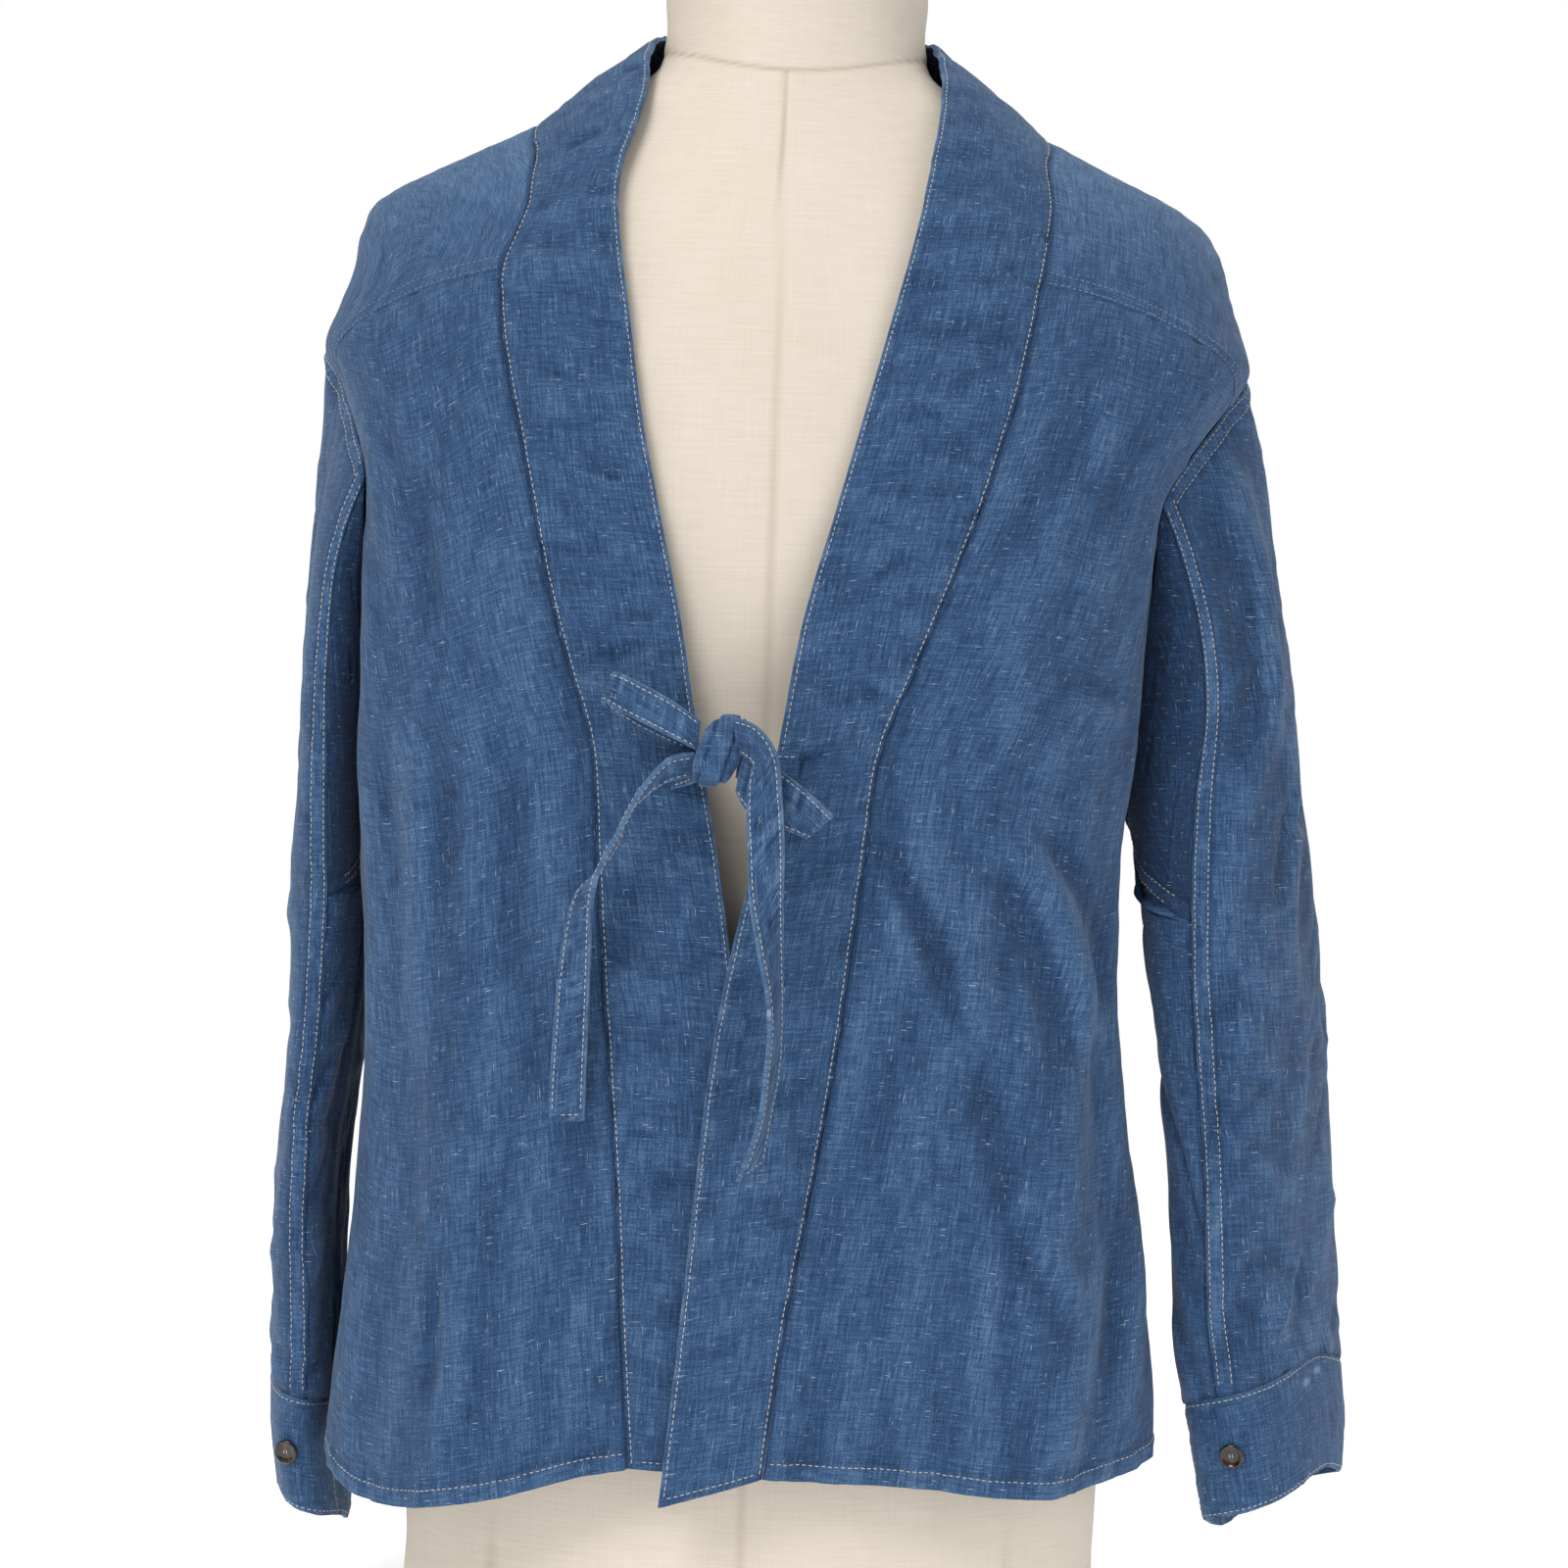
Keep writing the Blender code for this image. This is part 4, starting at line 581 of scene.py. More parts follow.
def read_table(table, column, where):
    """One column of a table read smoothly at values of its first column."""
    table = np.asarray(table, dtype=float)
    knots = table[:, 0]
    values = table[:, column]
    slopes = np.gradient(values, knots)
    start = np.clip(np.searchsorted(knots, where) - 1, 0, len(knots) - 2)
    span = knots[start + 1] - knots[start]
    share = np.clip((where - knots[start]) / span, 0.0, 1.0)
    return hermite(values[start], values[start + 1], slopes[start] * span, slopes[start + 1] * span, share)


def ring_radius(angle, width, front, back, squareness):
    """Distance from the axis to a ring that is a superellipse in plan."""
    sine = np.abs(np.sin(angle))
    cosine = np.cos(angle)
    depth = np.where(cosine > 0, front, back)
    return ((sine / width) ** squareness + (np.abs(cosine) / depth) ** squareness) ** (-1 / squareness)


def around(angle, radius, height):
    """Points at an angle from the centre front, in radians, about the upright axis."""
    return np.stack([radius * np.sin(angle), -radius * np.cos(angle), height], axis=-1)


def fold_relief(angle_degrees, height):
    """How far the largest folds push the body's cloth out."""
    turned = np.mod(angle_degrees + 110.0, 360.0) - 110.0
    relief = np.zeros(np.broadcast(turned, height).shape)
    for hem_angle, top_angle, low, high, width, depth in BODY_FOLDS:
        share = np.clip((height - low) / (high - low), 0.0, 1.0)
        centre = hem_angle + (top_angle - hem_angle) * share
        fade = np.clip((1 - share) / FOLD_FADE_SHARE, 0.0, 1.0)
        fade = fade * fade * (3 - 2 * fade)
        relief = relief + depth * np.exp(-((turned - centre) / width) ** 2) * fade
    return relief


def body_point(angle_degrees, height):
    """A point of the jacket's body."""
    angle_degrees = np.asarray(angle_degrees, dtype=float)
    height = np.asarray(height, dtype=float)
    angle = np.radians(angle_degrees)
    right = read_table(BODY_SECTIONS, 1, height)
    left = read_table(BODY_SECTIONS, 2, height)
    width = np.where(np.sin(angle) < 0, right, left)
    front = read_table(BODY_SECTIONS, 3, height)
    back = read_table(BODY_SECTIONS, 4, height)
    squareness = read_table(BODY_SECTIONS, 5, height)
    radius = ring_radius(angle, width, front, back, squareness) + fold_relief(angle_degrees, height)
    return around(angle, radius, height)


def body_normal(angle_degrees, height):
    """The outward direction of the jacket's body."""
    along = body_point(angle_degrees + 1.0, height) - body_point(angle_degrees - 1.0, height)
    up = body_point(angle_degrees, height + 0.003) - body_point(angle_degrees, height - 0.003)
    normal = np.cross(along, up)
    return normal / np.linalg.norm(normal, axis=-1, keepdims=True)


def angle_on_front(across, height):
    """Angle of the body's front at a distance across, found by halving."""
    low, high = 0.0, 90.0
    side = math.copysign(1.0, across)
    for _ in range(40):
        middle = (low + high) / 2
        if abs(body_point(side * middle, height)[0]) < abs(across):
            low = middle
        else:
            high = middle
    return side * (low + high) / 2


def hem_height(angle_degrees):
    """Height of the hem's edge at an angle."""
    turned = np.mod(np.asarray(angle_degrees, dtype=float) + 180.0, 360.0) - 180.0
    return read_table(HEM_LINE, 1, turned)


def collar_places():
    """Places along the band from the centre back to the yoke's front corner, in rows."""
    places = [0.0]
    for row, steps in enumerate(COLLAR_STEPS):
        places += [row + (step + 1) / steps for step in range(steps)]
    return np.array(places)


def front_places():
    """Places along the band from the yoke's front corner to the hem, in rows."""
    first = len(COLLAR_SECTIONS)
    count = len(LEFT_BAND_SECTIONS) - 1
    return first + np.arange(count * FRONT_STEPS + 1) / FRONT_STEPS


def band_rows(side):
    """Rows of one band: inner edge x, y, z and the seam's angle and height."""
    sign = 1.0 if side == "left" else -1.0
    sections = LEFT_BAND_SECTIONS if side == "left" else RIGHT_BAND_SECTIONS
    rows = [(sign * x, y, z, sign * angle, height) for x, y, z, angle, height in COLLAR_SECTIONS]
    rows += [(x, y, z, angle_on_front(across, height), height) for x, y, z, across, height in sections]
    return rows


def band_seam(side, places):
    """Angle and height of the seam between the band and the body."""
    return read_rows([row[3:] for row in band_rows(side)], places)


def side_boundary():
    """Angle and height up the armhole's edge, and how many rows the side seam takes below it."""
    armhole = read_rows(ARMHOLE_EDGE, np.arange((len(ARMHOLE_EDGE) - 1) * FRONT_STEPS + 1) / FRONT_STEPS)
    seam_rows = len(front_places()) - len(armhole)
    return armhole, seam_rows


def side_line(side, behind=False):
    """Angle and height of the panel's side edge, one row for each row of the band."""
    sign = 1.0 if side == "left" else -1.0
    armhole, seam_rows = side_boundary()
    hem = float(hem_height(sign * 90.0))
    heights = hem + (UNDERARM_HEIGHT - hem) * np.arange(seam_rows) / seam_rows
    seam = np.stack([np.full(seam_rows, 90.0), heights], axis=-1)
    line = np.concatenate([seam, armhole])
    if behind:
        line[:, 0] = 180.0 - line[:, 0]
    line[:, 0] *= sign
    return line


def yoke_front_seam(side):
    """Angle and height of the yoke's front seam, from the band to the armhole."""
    sign = 1.0 if side == "left" else -1.0
    start = band_seam(side, np.array([float(len(COLLAR_SECTIONS))]))[0]
    end = np.array([sign * ARMHOLE_CORNER_ANGLE, ARMHOLE_CORNER_HEIGHT])
    share = np.arange(FRONT_COLUMNS + 1)[:, None] / FRONT_COLUMNS
    line = start + (end - start) * share
    line[:, 1] += FRONT_YOKE_BOW * np.sin(math.pi * share[:, 0])
    return line


def fill_between(left, right, bottom, top):
    """Angles and heights over a four-sided panel from its four edges."""
    rows = len(left)
    columns = len(bottom)
    up = (np.arange(rows) / (rows - 1))[:, None, None]
    across = (np.arange(columns) / (columns - 1))[None, :, None]
    ruled = (1 - across) * left[:, None] + across * right[:, None]
    ruled = ruled + (1 - up) * bottom[None] + up * top[None]
    corners = (1 - up) * ((1 - across) * left[0] + across * right[0])
    corners = corners + up * ((1 - across) * left[-1] + across * right[-1])
    return ruled - corners


def hem_edge(start_angle, end_angle, columns):
    """Angle and height along the hem."""
    angles = np.linspace(start_angle, end_angle, columns)
    return np.stack([angles, hem_height(angles)], axis=-1)


def front_grid(side):
    """Angles and heights of a front panel, rows from the hem up."""
    inner = band_seam(side, front_places())[::-1]
    outer = side_line(side)
    top = yoke_front_seam(side)
    bottom = hem_edge(inner[0, 0], outer[0, 0], FRONT_COLUMNS + 1)
    bottom[0] = inner[0]
    return fill_between(inner, outer, bottom, top)


def yoke_outer_edge(side):
    """Angle and height along the yoke's back seam and the top of the armhole."""
    sign = 1.0 if side == "left" else -1.0
    places = collar_places()
    split = len(BACK_YOKE_SEAM) - 1
    back = read_rows(BACK_YOKE_SEAM, places[places <= split])
    top = read_rows(ARMHOLE_TOP, places[places > split] - split)
    line = np.concatenate([back, top])
    line[:, 0] *= sign
    return line, len(back)


def yoke_grid():
    """Angles and heights of the yoke, from the right front seam round the back to the left."""
    halves = {}
    for side in ("left", "right"):
        inner = band_seam(side, collar_places())
        outer, _ = yoke_outer_edge(side)
        share = np.arange(FRONT_COLUMNS + 1)[None, :, None] / FRONT_COLUMNS
        grid = (1 - share) * inner[:, None] + share * outer[:, None]
        bow = FRONT_YOKE_BOW * np.sin(math.pi * share[0, :, 0])
        fade = np.clip(1 + (collar_places() - len(COLLAR_SECTIONS)) / YOKE_BOW_FADE, 0.0, 1.0)
        grid[:, :, 1] += fade[:, None] * bow[None]
        halves[side] = grid
    right = halves["right"].copy()
    right[:, :, 0] += 360.0
    return np.concatenate([halves["left"][::-1], right[1:]])


def back_grid():
    """Angles and heights of the back panel, rows from the hem up."""
    left_edge = side_line("left", behind=True)
    right_edge = side_line("right", behind=True)
    right_edge[:, 0] += 360.0
    left_top, count = yoke_outer_edge("left")
    right_top, _ = yoke_outer_edge("right")
    right_top = right_top[:count].copy()
    right_top[:, 0] += 360.0
    top = np.concatenate([left_top[:count][::-1], right_top[1:]])
    bottom = hem_edge(90.0, 270.0, len(top))
    return fill_between(left_edge, right_edge, bottom, top)


def grid_normals(points):
    """Outward directions of a grid of points, from its own rows and columns."""
    along = np.gradient(points, axis=1)
    up = np.gradient(points, axis=0)
    normal = np.cross(along, up)
    return normal / np.maximum(np.linalg.norm(normal, axis=-1, keepdims=True), 1e-12)


def pull_edge(points, index, towards, distance):
    """Move one edge of a grid towards the line beside it."""
    step = points[towards] - points[index]
    length = np.maximum(np.linalg.norm(step, axis=-1, keepdims=True), 1e-9)
    points[index] = points[index] + step / length * distance


def trim(points, low_row=0.0, high_row=0.0, low_column=0.0, high_column=0.0):
    """Shorten a grid at its edges, so that it stays clear of the pieces sewn to it."""
    points = points.copy()
    if low_row:
        pull_edge(points, 0, 1, low_row)
    if high_row:
        pull_edge(points, -1, -2, high_row)
    if low_column:
        pull_edge(points, (slice(None), 0), (slice(None), 1), low_column)
    if high_column:
        pull_edge(points, (slice(None), -1), (slice(None), -2), high_column)
    return points


def band_grid(side):
    """Points of one band, rows from the centre back to the hem, columns from the inner edge."""
    places = np.concatenate([collar_places(), front_places()[1:]])
    rows = read_rows(band_rows(side), places)
    inner = rows[:, :3]
    outer = body_point(rows[:, 3], rows[:, 4])
    share = np.arange(BAND_COLUMNS + 1)[None, :, None] / BAND_COLUMNS
    points = (1 - share) * inner[:, None] + share * outer[:, None]
    if side == "right":
        points = points[::-1]
    normal = -grid_normals(points)
    points = points + normal * BAND_CROWN * np.sin(math.pi * share)
    return points, normal


def tube_axes(side, height):
    """Centre, half sizes and directions of a sleeve's ring at a height."""
    table = LEFT_SLEEVE_SECTIONS if side == "left" else RIGHT_SLEEVE_SECTIONS
    sign = 1.0 if side == "left" else -1.0
    centre = np.stack([sign * read_table(table, 1, height), read_table(table, 2, height)], axis=-1)
    length = read_table(table, 3, height)
    width = read_table(table, 4, height)
    turn = np.radians(read_table(table, 5, height))
    outward = np.stack([sign * np.cos(turn), -np.sin(turn)], axis=-1)
    forward = np.stack([-sign * np.sin(turn), -np.cos(turn)], axis=-1)
    return centre, length, width, outward, forward


def tube_point(side, angle_degrees, height):
    """A point of a sleeve's tube: 0 outward, 90 to the front, 180 inward."""
    centre, length, width, outward, forward = tube_axes(side, height)
    angle = np.radians(angle_degrees)
    cosine = np.cos(angle)
    sine = np.sin(angle)
    squareness = SLEEVE_SQUARENESS
    reach = (np.abs(cosine) / width) ** squareness + (np.abs(sine) / length) ** squareness
    radius = reach ** (-1 / squareness)
    flat = centre + (radius * cosine)[..., None] * outward + (radius * sine)[..., None] * forward
    return np.concatenate([flat, np.asarray(height)[..., None]], axis=-1)


def even_tube_angle(share):
    """Tube angle in degrees for an even share of the flattened ring, 0.25 at the front end."""
    turns = np.floor(share)
    part = (share - turns) * 4
    quarter = np.floor(part)
    inside = part - quarter
    rising = np.where(np.mod(quarter, 2) == 0, inside, 1 - inside)
    quarter_turn = rising * math.pi / 2
    spread = np.degrees(np.arctan2(np.sin(quarter_turn), SLEEVE_FLATNESS * np.cos(quarter_turn)))
    base = np.where(np.mod(quarter, 2) == 0, quarter * 90 + spread, (quarter + 1) * 90 - spread)
    return turns * 360 + base


def armhole_points(side):
    """The armhole's edge just clear of the body: over the top from the gusset's corner to the
    back, down the back to the underarm, and down the front from the gusset's corner."""
    front = side_line(side)
    back = side_line(side, behind=True)
    _, seam_rows = side_boundary()
    corner = seam_rows + GUSSET_CORNER_ROW * FRONT_STEPS
    top, count = yoke_outer_edge(side)
    over = np.concatenate([front[corner:], top[count:-1][::-1], back[corner:][::-1]])
    under_back = back[seam_rows:corner + 1][::-1]
    under_front = front[seam_rows:corner + 1][::-1]
    found = []
    for line in (over, under_back, under_front):
        points = body_point(line[:, 0], line[:, 1])
        found.append(points + body_normal(line[:, 0], line[:, 1]) * SEAM_GAP)
    return found


def split_segments(points):
    """The same line of points with each segment's middle added."""
    middles = (points[1:] + points[:-1]) / 2
    joined = np.empty((len(points) + len(middles),) + points.shape[1:])
    joined[0::2] = points
    joined[1::2] = middles
    return joined


def arc_shares(points):
    """Share of the way along a line of points."""
    lengths = np.linalg.norm(np.diff(points, axis=0), axis=-1)
    return np.concatenate([[0.0], np.cumsum(lengths)]) / lengths.sum()


def cuff_seam_height(side, angle_degrees):
    """Height of the seam between sleeve and cuff at a tube angle."""
    height, rise = CUFF_SEAM[side]
    return height + rise / 2 * np.cos(np.radians(angle_degrees))


def armhole_blend(side, start_points, start_angles, angles, heights, share):
    """Tube points that leave the armhole's edge and settle on the hanging tube."""
    offset = start_points - tube_point(side, start_angles, start_points[:, 2])
    outer = np.clip(np.cos(np.radians(start_angles)), 0.0, 1.0)
    reach = UNDERARM_BLEND_SHARE + (OUTER_BLEND_SHARE - UNDERARM_BLEND_SHARE) * outer
    fade = np.clip(1 - share[:, None] / reach, 0.0, 1.0) ** 2
    return tube_point(side, angles, heights) + offset * fade[:, :, None]


def sleeve_shares():
    """Row places down a sleeve, with one at the gusset's tip."""
    upper = GUSSET_TIP_SHARE * np.arange(GUSSET_ROWS + 1) / GUSSET_ROWS
    count = SLEEVE_ROWS - GUSSET_ROWS
    lower = GUSSET_TIP_SHARE + (1 - GUSSET_TIP_SHARE) * np.arange(1, count + 1) / count
    return np.concatenate([upper, lower])


def seam_share(side):
    """Place of the sleeve's seam round its flattened ring."""
    return 0.25 + (SLEEVE_SEAM_ANGLE[side] - 90.0) / 360.0


def tip_ring_height(side, angles):
    """Height of the sleeve's row at the gusset's tip, lowest at the tip itself."""
    apart = np.radians(angles - even_tube_angle(np.array(seam_share(side))))
    return GUSSET_TIP_HEIGHT + GUSSET_TIP_RISE * (1 - np.cos(apart)) / 2


def clear_of_body(points, clearance):
    """Points moved straight out from the axis where they would come too near the body."""
    angle = np.degrees(np.arctan2(points[..., 0], -points[..., 1]))
    surface = body_point(angle, points[..., 2])
    radius = np.linalg.norm(points[..., :2], axis=-1)
    needed = np.linalg.norm(surface[..., :2], axis=-1) + clearance
    moved = points.copy()
    moved[..., :2] *= np.maximum(needed / radius, 1.0)[..., None]
    return moved


def sleeve_points(side):
    """Points of a sleeve, rows from armhole to cuff, columns from its front edge round the outside."""
    over, under_back, _ = armhole_points(side)
    over = split_segments(over)
    points = np.concatenate([over, under_back[1:]])
    places = np.concatenate([0.25 - 0.5 * arc_shares(over), -0.25 - 0.25 * arc_shares(under_back)[1:]])
    start = even_tube_angle(places)
    end = even_tube_angle(seam_share(side) - np.arange(len(points)) / (len(points) - 1))
    share = sleeve_shares()
    upper = np.clip(share / GUSSET_TIP_SHARE, 0.0, 1.0)[:, None]
    lower = np.clip((share - GUSSET_TIP_SHARE) / (1 - GUSSET_TIP_SHARE), 0.0, 1.0)[:, None]
    delay = np.zeros(len(points))
    delay[len(over):] = SLEEVE_TURN_DELAY * arc_shares(under_back)[1:]
    delay[-1] = 0.0
    angles = start + (end - start) * upper ** (1 + delay)
    tip_row = tip_ring_height(side, end)
    heights = points[:, 2] + (tip_row - points[:, 2]) * upper
    heights = heights + (cuff_seam_height(side, end) - tip_row) * lower
    found = armhole_blend(side, points, start, angles, heights, share)
    found[1:] = clear_of_body(found[1:], SLEEVE_CLEARANCE)
    return found


def gusset_points(side):
    """Points of a gusset, rows from the body to its tip, columns from the sleeve's front edge down."""
    _, _, points = armhole_points(side)
    start = even_tube_angle(0.25 + 0.25 * arc_shares(points))
    tip = float(even_tube_angle(np.array(seam_share(side))))
    share = sleeve_shares()[:GUSSET_ROWS + 1]
    turn = (share / GUSSET_TIP_SHARE)[:, None]
    angles = (1 - turn) * start + turn * tip
    heights = points[:, 2] + (GUSSET_TIP_HEIGHT - points[:, 2]) * turn
    return armhole_blend(side, points, start, angles, heights, share)


def facing_out(points, side, turned):
    """Grid directions that point out of a tube on either side."""
    normal = grid_normals(points)
    sign = 1.0 if side == "left" else -1.0
    return normal * sign * turned


def share_normals(first, first_index, second, second_index):
    """Give two edges that meet at a seam the same directions."""
    mean = first[first_index] + second[second_index]
    mean = mean / np.maximum(np.linalg.norm(mean, axis=-1, keepdims=True), 1e-9)
    first[first_index] = mean
    second[second_index] = mean


def cuff_points(side):
    """Points of a cuff, rows from its seam down, columns from the over end round to the under end."""
    start = PLACKET_ANGLE[side]
    angles = start - np.linspace(0.0, 360.0 + CUFF_OVERLAP_ANGLE, CUFF_COLUMNS + 1)
    rows = np.arange(CUFF_ROWS + 1) / CUFF_ROWS
    top = cuff_seam_height(side, angles) - SEAM_GAP
    heights = top[None] - CUFF_HEIGHT * rows[:, None]
    points = tube_point(side, np.broadcast_to(angles, heights.shape), heights)
    behind = np.clip((start - angles - 360.0 + CUFF_PASS_ANGLE) / CUFF_PASS_ANGLE, 0.0, 1.0)
    return points, behind


def wobble(place, seed):
    """An uneven wave between about -1 and 1 along a line, with its place counted in waves."""
    rng = np.random.default_rng(seed)
    total = np.zeros(np.shape(place))
    for step in range(5):
        pace = (0.55 + 0.35 * step) * (0.85 + 0.3 * rng.random())
        total = total + np.sin(place * pace * 2 * math.pi + rng.random() * 6.28) / (1.6 + 0.5 * step)
    return total / 1.4


def grid_lengths(points):
    """Lengths along the columns and up the rows of a grid, from its first ones."""
    along = np.zeros(points.shape[:2])
    along[:, 1:] = np.cumsum(np.linalg.norm(np.diff(points, axis=1), axis=-1), axis=1)
    up = np.zeros(points.shape[:2])
    up[1:] = np.cumsum(np.linalg.norm(np.diff(points, axis=0), axis=-1), axis=0)
    return along, up


def soft_step(value):
    """A smooth step from 0 to 1."""
    value = np.clip(value, 0.0, 1.0)
    return value * value * (3 - 2 * value)


def crease_height(across, up, start, bend, end, half_width, depth):
    """A soft ridge or trough along a bent line, fading towards its ends."""
    nearest = np.full(np.shape(across), 1e9)
    place = np.zeros(np.shape(across))
    for first, second, base in ((start, bend, 0.0), (bend, end, 0.5)):
        run = np.array(second) - np.array(first)
        length = max(float(np.dot(run, run)), 1e-12)
        share = np.clip(((across - first[0]) * run[0] + (up - first[1]) * run[1]) / length, 0.0, 1.0)
        distance = np.hypot(across - first[0] - share * run[0], up - first[1] - share * run[1])
        closer = distance < nearest
        place = np.where(closer, base + share / 2, place)
        nearest = np.where(closer, distance, nearest)
    taper = soft_step(place / CREASE_TAPER) * soft_step((1 - place) / CREASE_TAPER)
    return depth * taper * np.exp(-(nearest / half_width) ** 2)


def table_creases(table, across, up):
    """The sum of a table's creases: start, bend and end, half width, depth."""
    total = np.zeros(np.shape(across))
    for x0, z0, x1, z1, x2, z2, half_width, depth in table:
        total = total + crease_height(across, up, (x0, z0), (x1, z1), (x2, z2), half_width, depth)
    return total


def scattered_puckers(along, up, spacing, lean, size, depth, seed):
    """Many small uneven creases over a cloth, lying across it with a lean in degrees."""
    rng = np.random.default_rng(seed)
    total = np.zeros(np.shape(along))
    width = float(along.max())
    height = float(up.max())
    count = int(width * height / spacing ** 2)
    for _ in range(count):
        middle = (rng.random() * width, rng.random() * height)
        turn = math.radians(rng.normal(lean, 16.0))
        half = size * (0.5 + rng.random())
        run = (half * math.cos(turn), half * math.sin(turn))
        bow = size * rng.normal(0.0, 0.12)
        start = (middle[0] - run[0], middle[1] - run[1])
        bend = (middle[0], middle[1] + bow)
        end = (middle[0] + run[0], middle[1] + run[1])
        total = total + crease_height(along, up, start, bend, end, size * (0.10 + 0.12 * rng.random()),
                                      depth * rng.normal(0.0, 0.6))
    return total


def drape_waves(along, up, wavelength, stretch, height, seed):
    """Slow uneven waves of hanging cloth, longer up it than across."""
    rng = np.random.default_rng(seed)
    total = np.zeros(np.shape(along))
    for _ in range(7):
        pace = (0.6 + 0.9 * rng.random()) / wavelength
        slope = rng.normal(0.0, 1.0) / (wavelength * stretch)
        total = total + np.sin(2 * math.pi * (along * pace + up * slope + rng.random()))
    return total * height / 2.6


def seam_relief(distance, place, kind, seed):
    """How a sewn edge lies: a ditch at the seam, a raised strip of folded cloth, puckers along it."""
    ditch = -DITCH_DEPTH * np.exp(-(distance / DITCH_WIDTH) ** 2)
    if kind == "ditch":
        return ditch
    if kind == "flat":
        return 0.25 * ditch + 0.00025 * wobble(place / PUCKER_PITCH, seed) * np.exp(-(distance / 0.006) ** 2)
    if kind == "edge":
        return ditch + 0.0004 * wobble(place / 0.009, seed) * np.exp(-(distance / 0.005) ** 2)
    width = HEM_STRIP if kind == "hem" else SEAM_STRIP
    strip = soft_step((width + 0.0012 - distance) / 0.0024)
    beside = np.exp(-((distance - width - 0.0018) / 0.0016) ** 2)
    skewed = place + distance * (0.7 if kind == "hem" else 0.2)
    puckers = wobble(skewed / PUCKER_PITCH, seed)
    relief = STRIP_RISE * strip - 0.5 * STRIP_RISE * beside + ditch
    reach = np.exp(-(distance / (2.2 * width)) ** 2)
    depth = HEM_PUCKER_DEPTH if kind == "hem" else SEAM_PUCKER_DEPTH
    return relief + depth * puckers * reach


def seam_wear_and_painted_shade(distance, place, kind, seed):
    """Paler worn spots on raised sewn edges, and painted shade in the ditches at seams and in the dip beside
    a folded strip, from -1 to 1.
    """
    spots = 0.5 + 0.5 * wobble(place / (PUCKER_PITCH * 1.3), seed + 7)
    # Painted shade: a ditch at a seam is darker, a flat seam faintly darker at its line.
    if kind == "ditch":
        return -0.55 * np.exp(-(distance / 0.0016) ** 2)
    if kind == "flat":
        return -0.12 * np.exp(-(distance / 0.0016) ** 2)
    if kind == "edge":
        return 0.5 * spots * np.exp(-(distance / 0.0015) ** 2)
    width = HEM_STRIP if kind == "hem" else SEAM_STRIP
    strip = soft_step((width - distance) / 0.0015)
    # Painted shade in the dip beside the folded strip; the pale spots on the strip are wear.
    line = np.exp(-((distance - width - 0.001) / 0.0012) ** 2)
    return 0.22 * spots * strip - 0.30 * line


def edge_distances(points):
    """For each named edge of a grid, the distance from it and the place along it."""
    along, up = grid_lengths(points)
    return {
        "low_column": (along, up),
        "high_column": (along[:, -1:] - along, up),
        "low_row": (up, along),
        "high_row": (up[-1:] - up, along),
    }


def dress(points, normal, edges, extra, seed):
    """The final points and the wear and painted light and shade of a piece of cloth: its sewn edges and
    creases put on its form.
    """
    along, up = grid_lengths(points)
    distances = edge_distances(points)
    relief = extra.copy()
    seams_wear_and_painted_light = np.zeros(points.shape[:2])
    for number, (edge, kind) in enumerate(edges.items()):
        distance, place = distances[edge]
        relief = relief + seam_relief(distance, place, kind, seed + number * 13)
        seams_wear_and_painted_light = seams_wear_and_painted_light + seam_wear_and_painted_shade(distance, place, kind, seed + number * 13)
    # Painted light and shade of the creases: raised ridges paler, troughs darker.
    seams_wear_and_painted_light = seams_wear_and_painted_light + np.clip(extra / 0.0060, -2 * CREASE_PAINTED_LIGHT, CREASE_PAINTED_LIGHT)
    return points + normal * relief[..., None], seams_wear_and_painted_light, np.stack([along, up], axis=-1)


def cloth_shell(name, outer, inner, seams_wear_and_painted_light, lengths, material, nodes):
    """One thin closed shell of cloth with its lengths as UV and its wear and painted light and shade as an
    attribute.
    """
    rows, columns = outer.shape[:2]
    count = rows * columns
    index = np.arange(count).reshape(rows, columns)
    a = index[:-1, :-1].ravel()
    b = index[:-1, 1:].ravel()
    c = index[1:, 1:].ravel()
    d = index[1:, :-1].ravel()
    front = np.stack([a, b, c, d], axis=-1)
    back = np.stack([d, c, b, a], axis=-1) + count
    border = np.concatenate([index[0, :], index[1:, -1], index[-1, -2::-1], index[-2:0:-1, 0]])
    after = np.roll(border, -1)
    rim = np.stack([after, border, border + count, after + count], axis=-1)
    faces = np.concatenate([front, back, rim])
    vertices = np.concatenate([outer.reshape(-1, 3), inner.reshape(-1, 3)])
    item = add_mesh(name, vertices, faces, material)
    mesh = item.data
    layer = mesh.uv_layers.new(name="cloth")
    both = np.concatenate([lengths.reshape(-1, 2), lengths.reshape(-1, 2)])
    corners = np.empty(len(mesh.loops), dtype=np.int32)
    mesh.loops.foreach_get("vertex_index", corners)
    layer.data.foreach_set("uv", both[corners].astype(np.float32).ravel())
    attribute = mesh.attributes.new(name="seams_wear_and_painted_light", type="FLOAT", domain="POINT")
    attribute.data.foreach_set("value", np.concatenate([seams_wear_and_painted_light.ravel(), seams_wear_and_painted_light.ravel()]).astype(np.float32))
    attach(item, "root")
    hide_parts(*nodes)
    return item


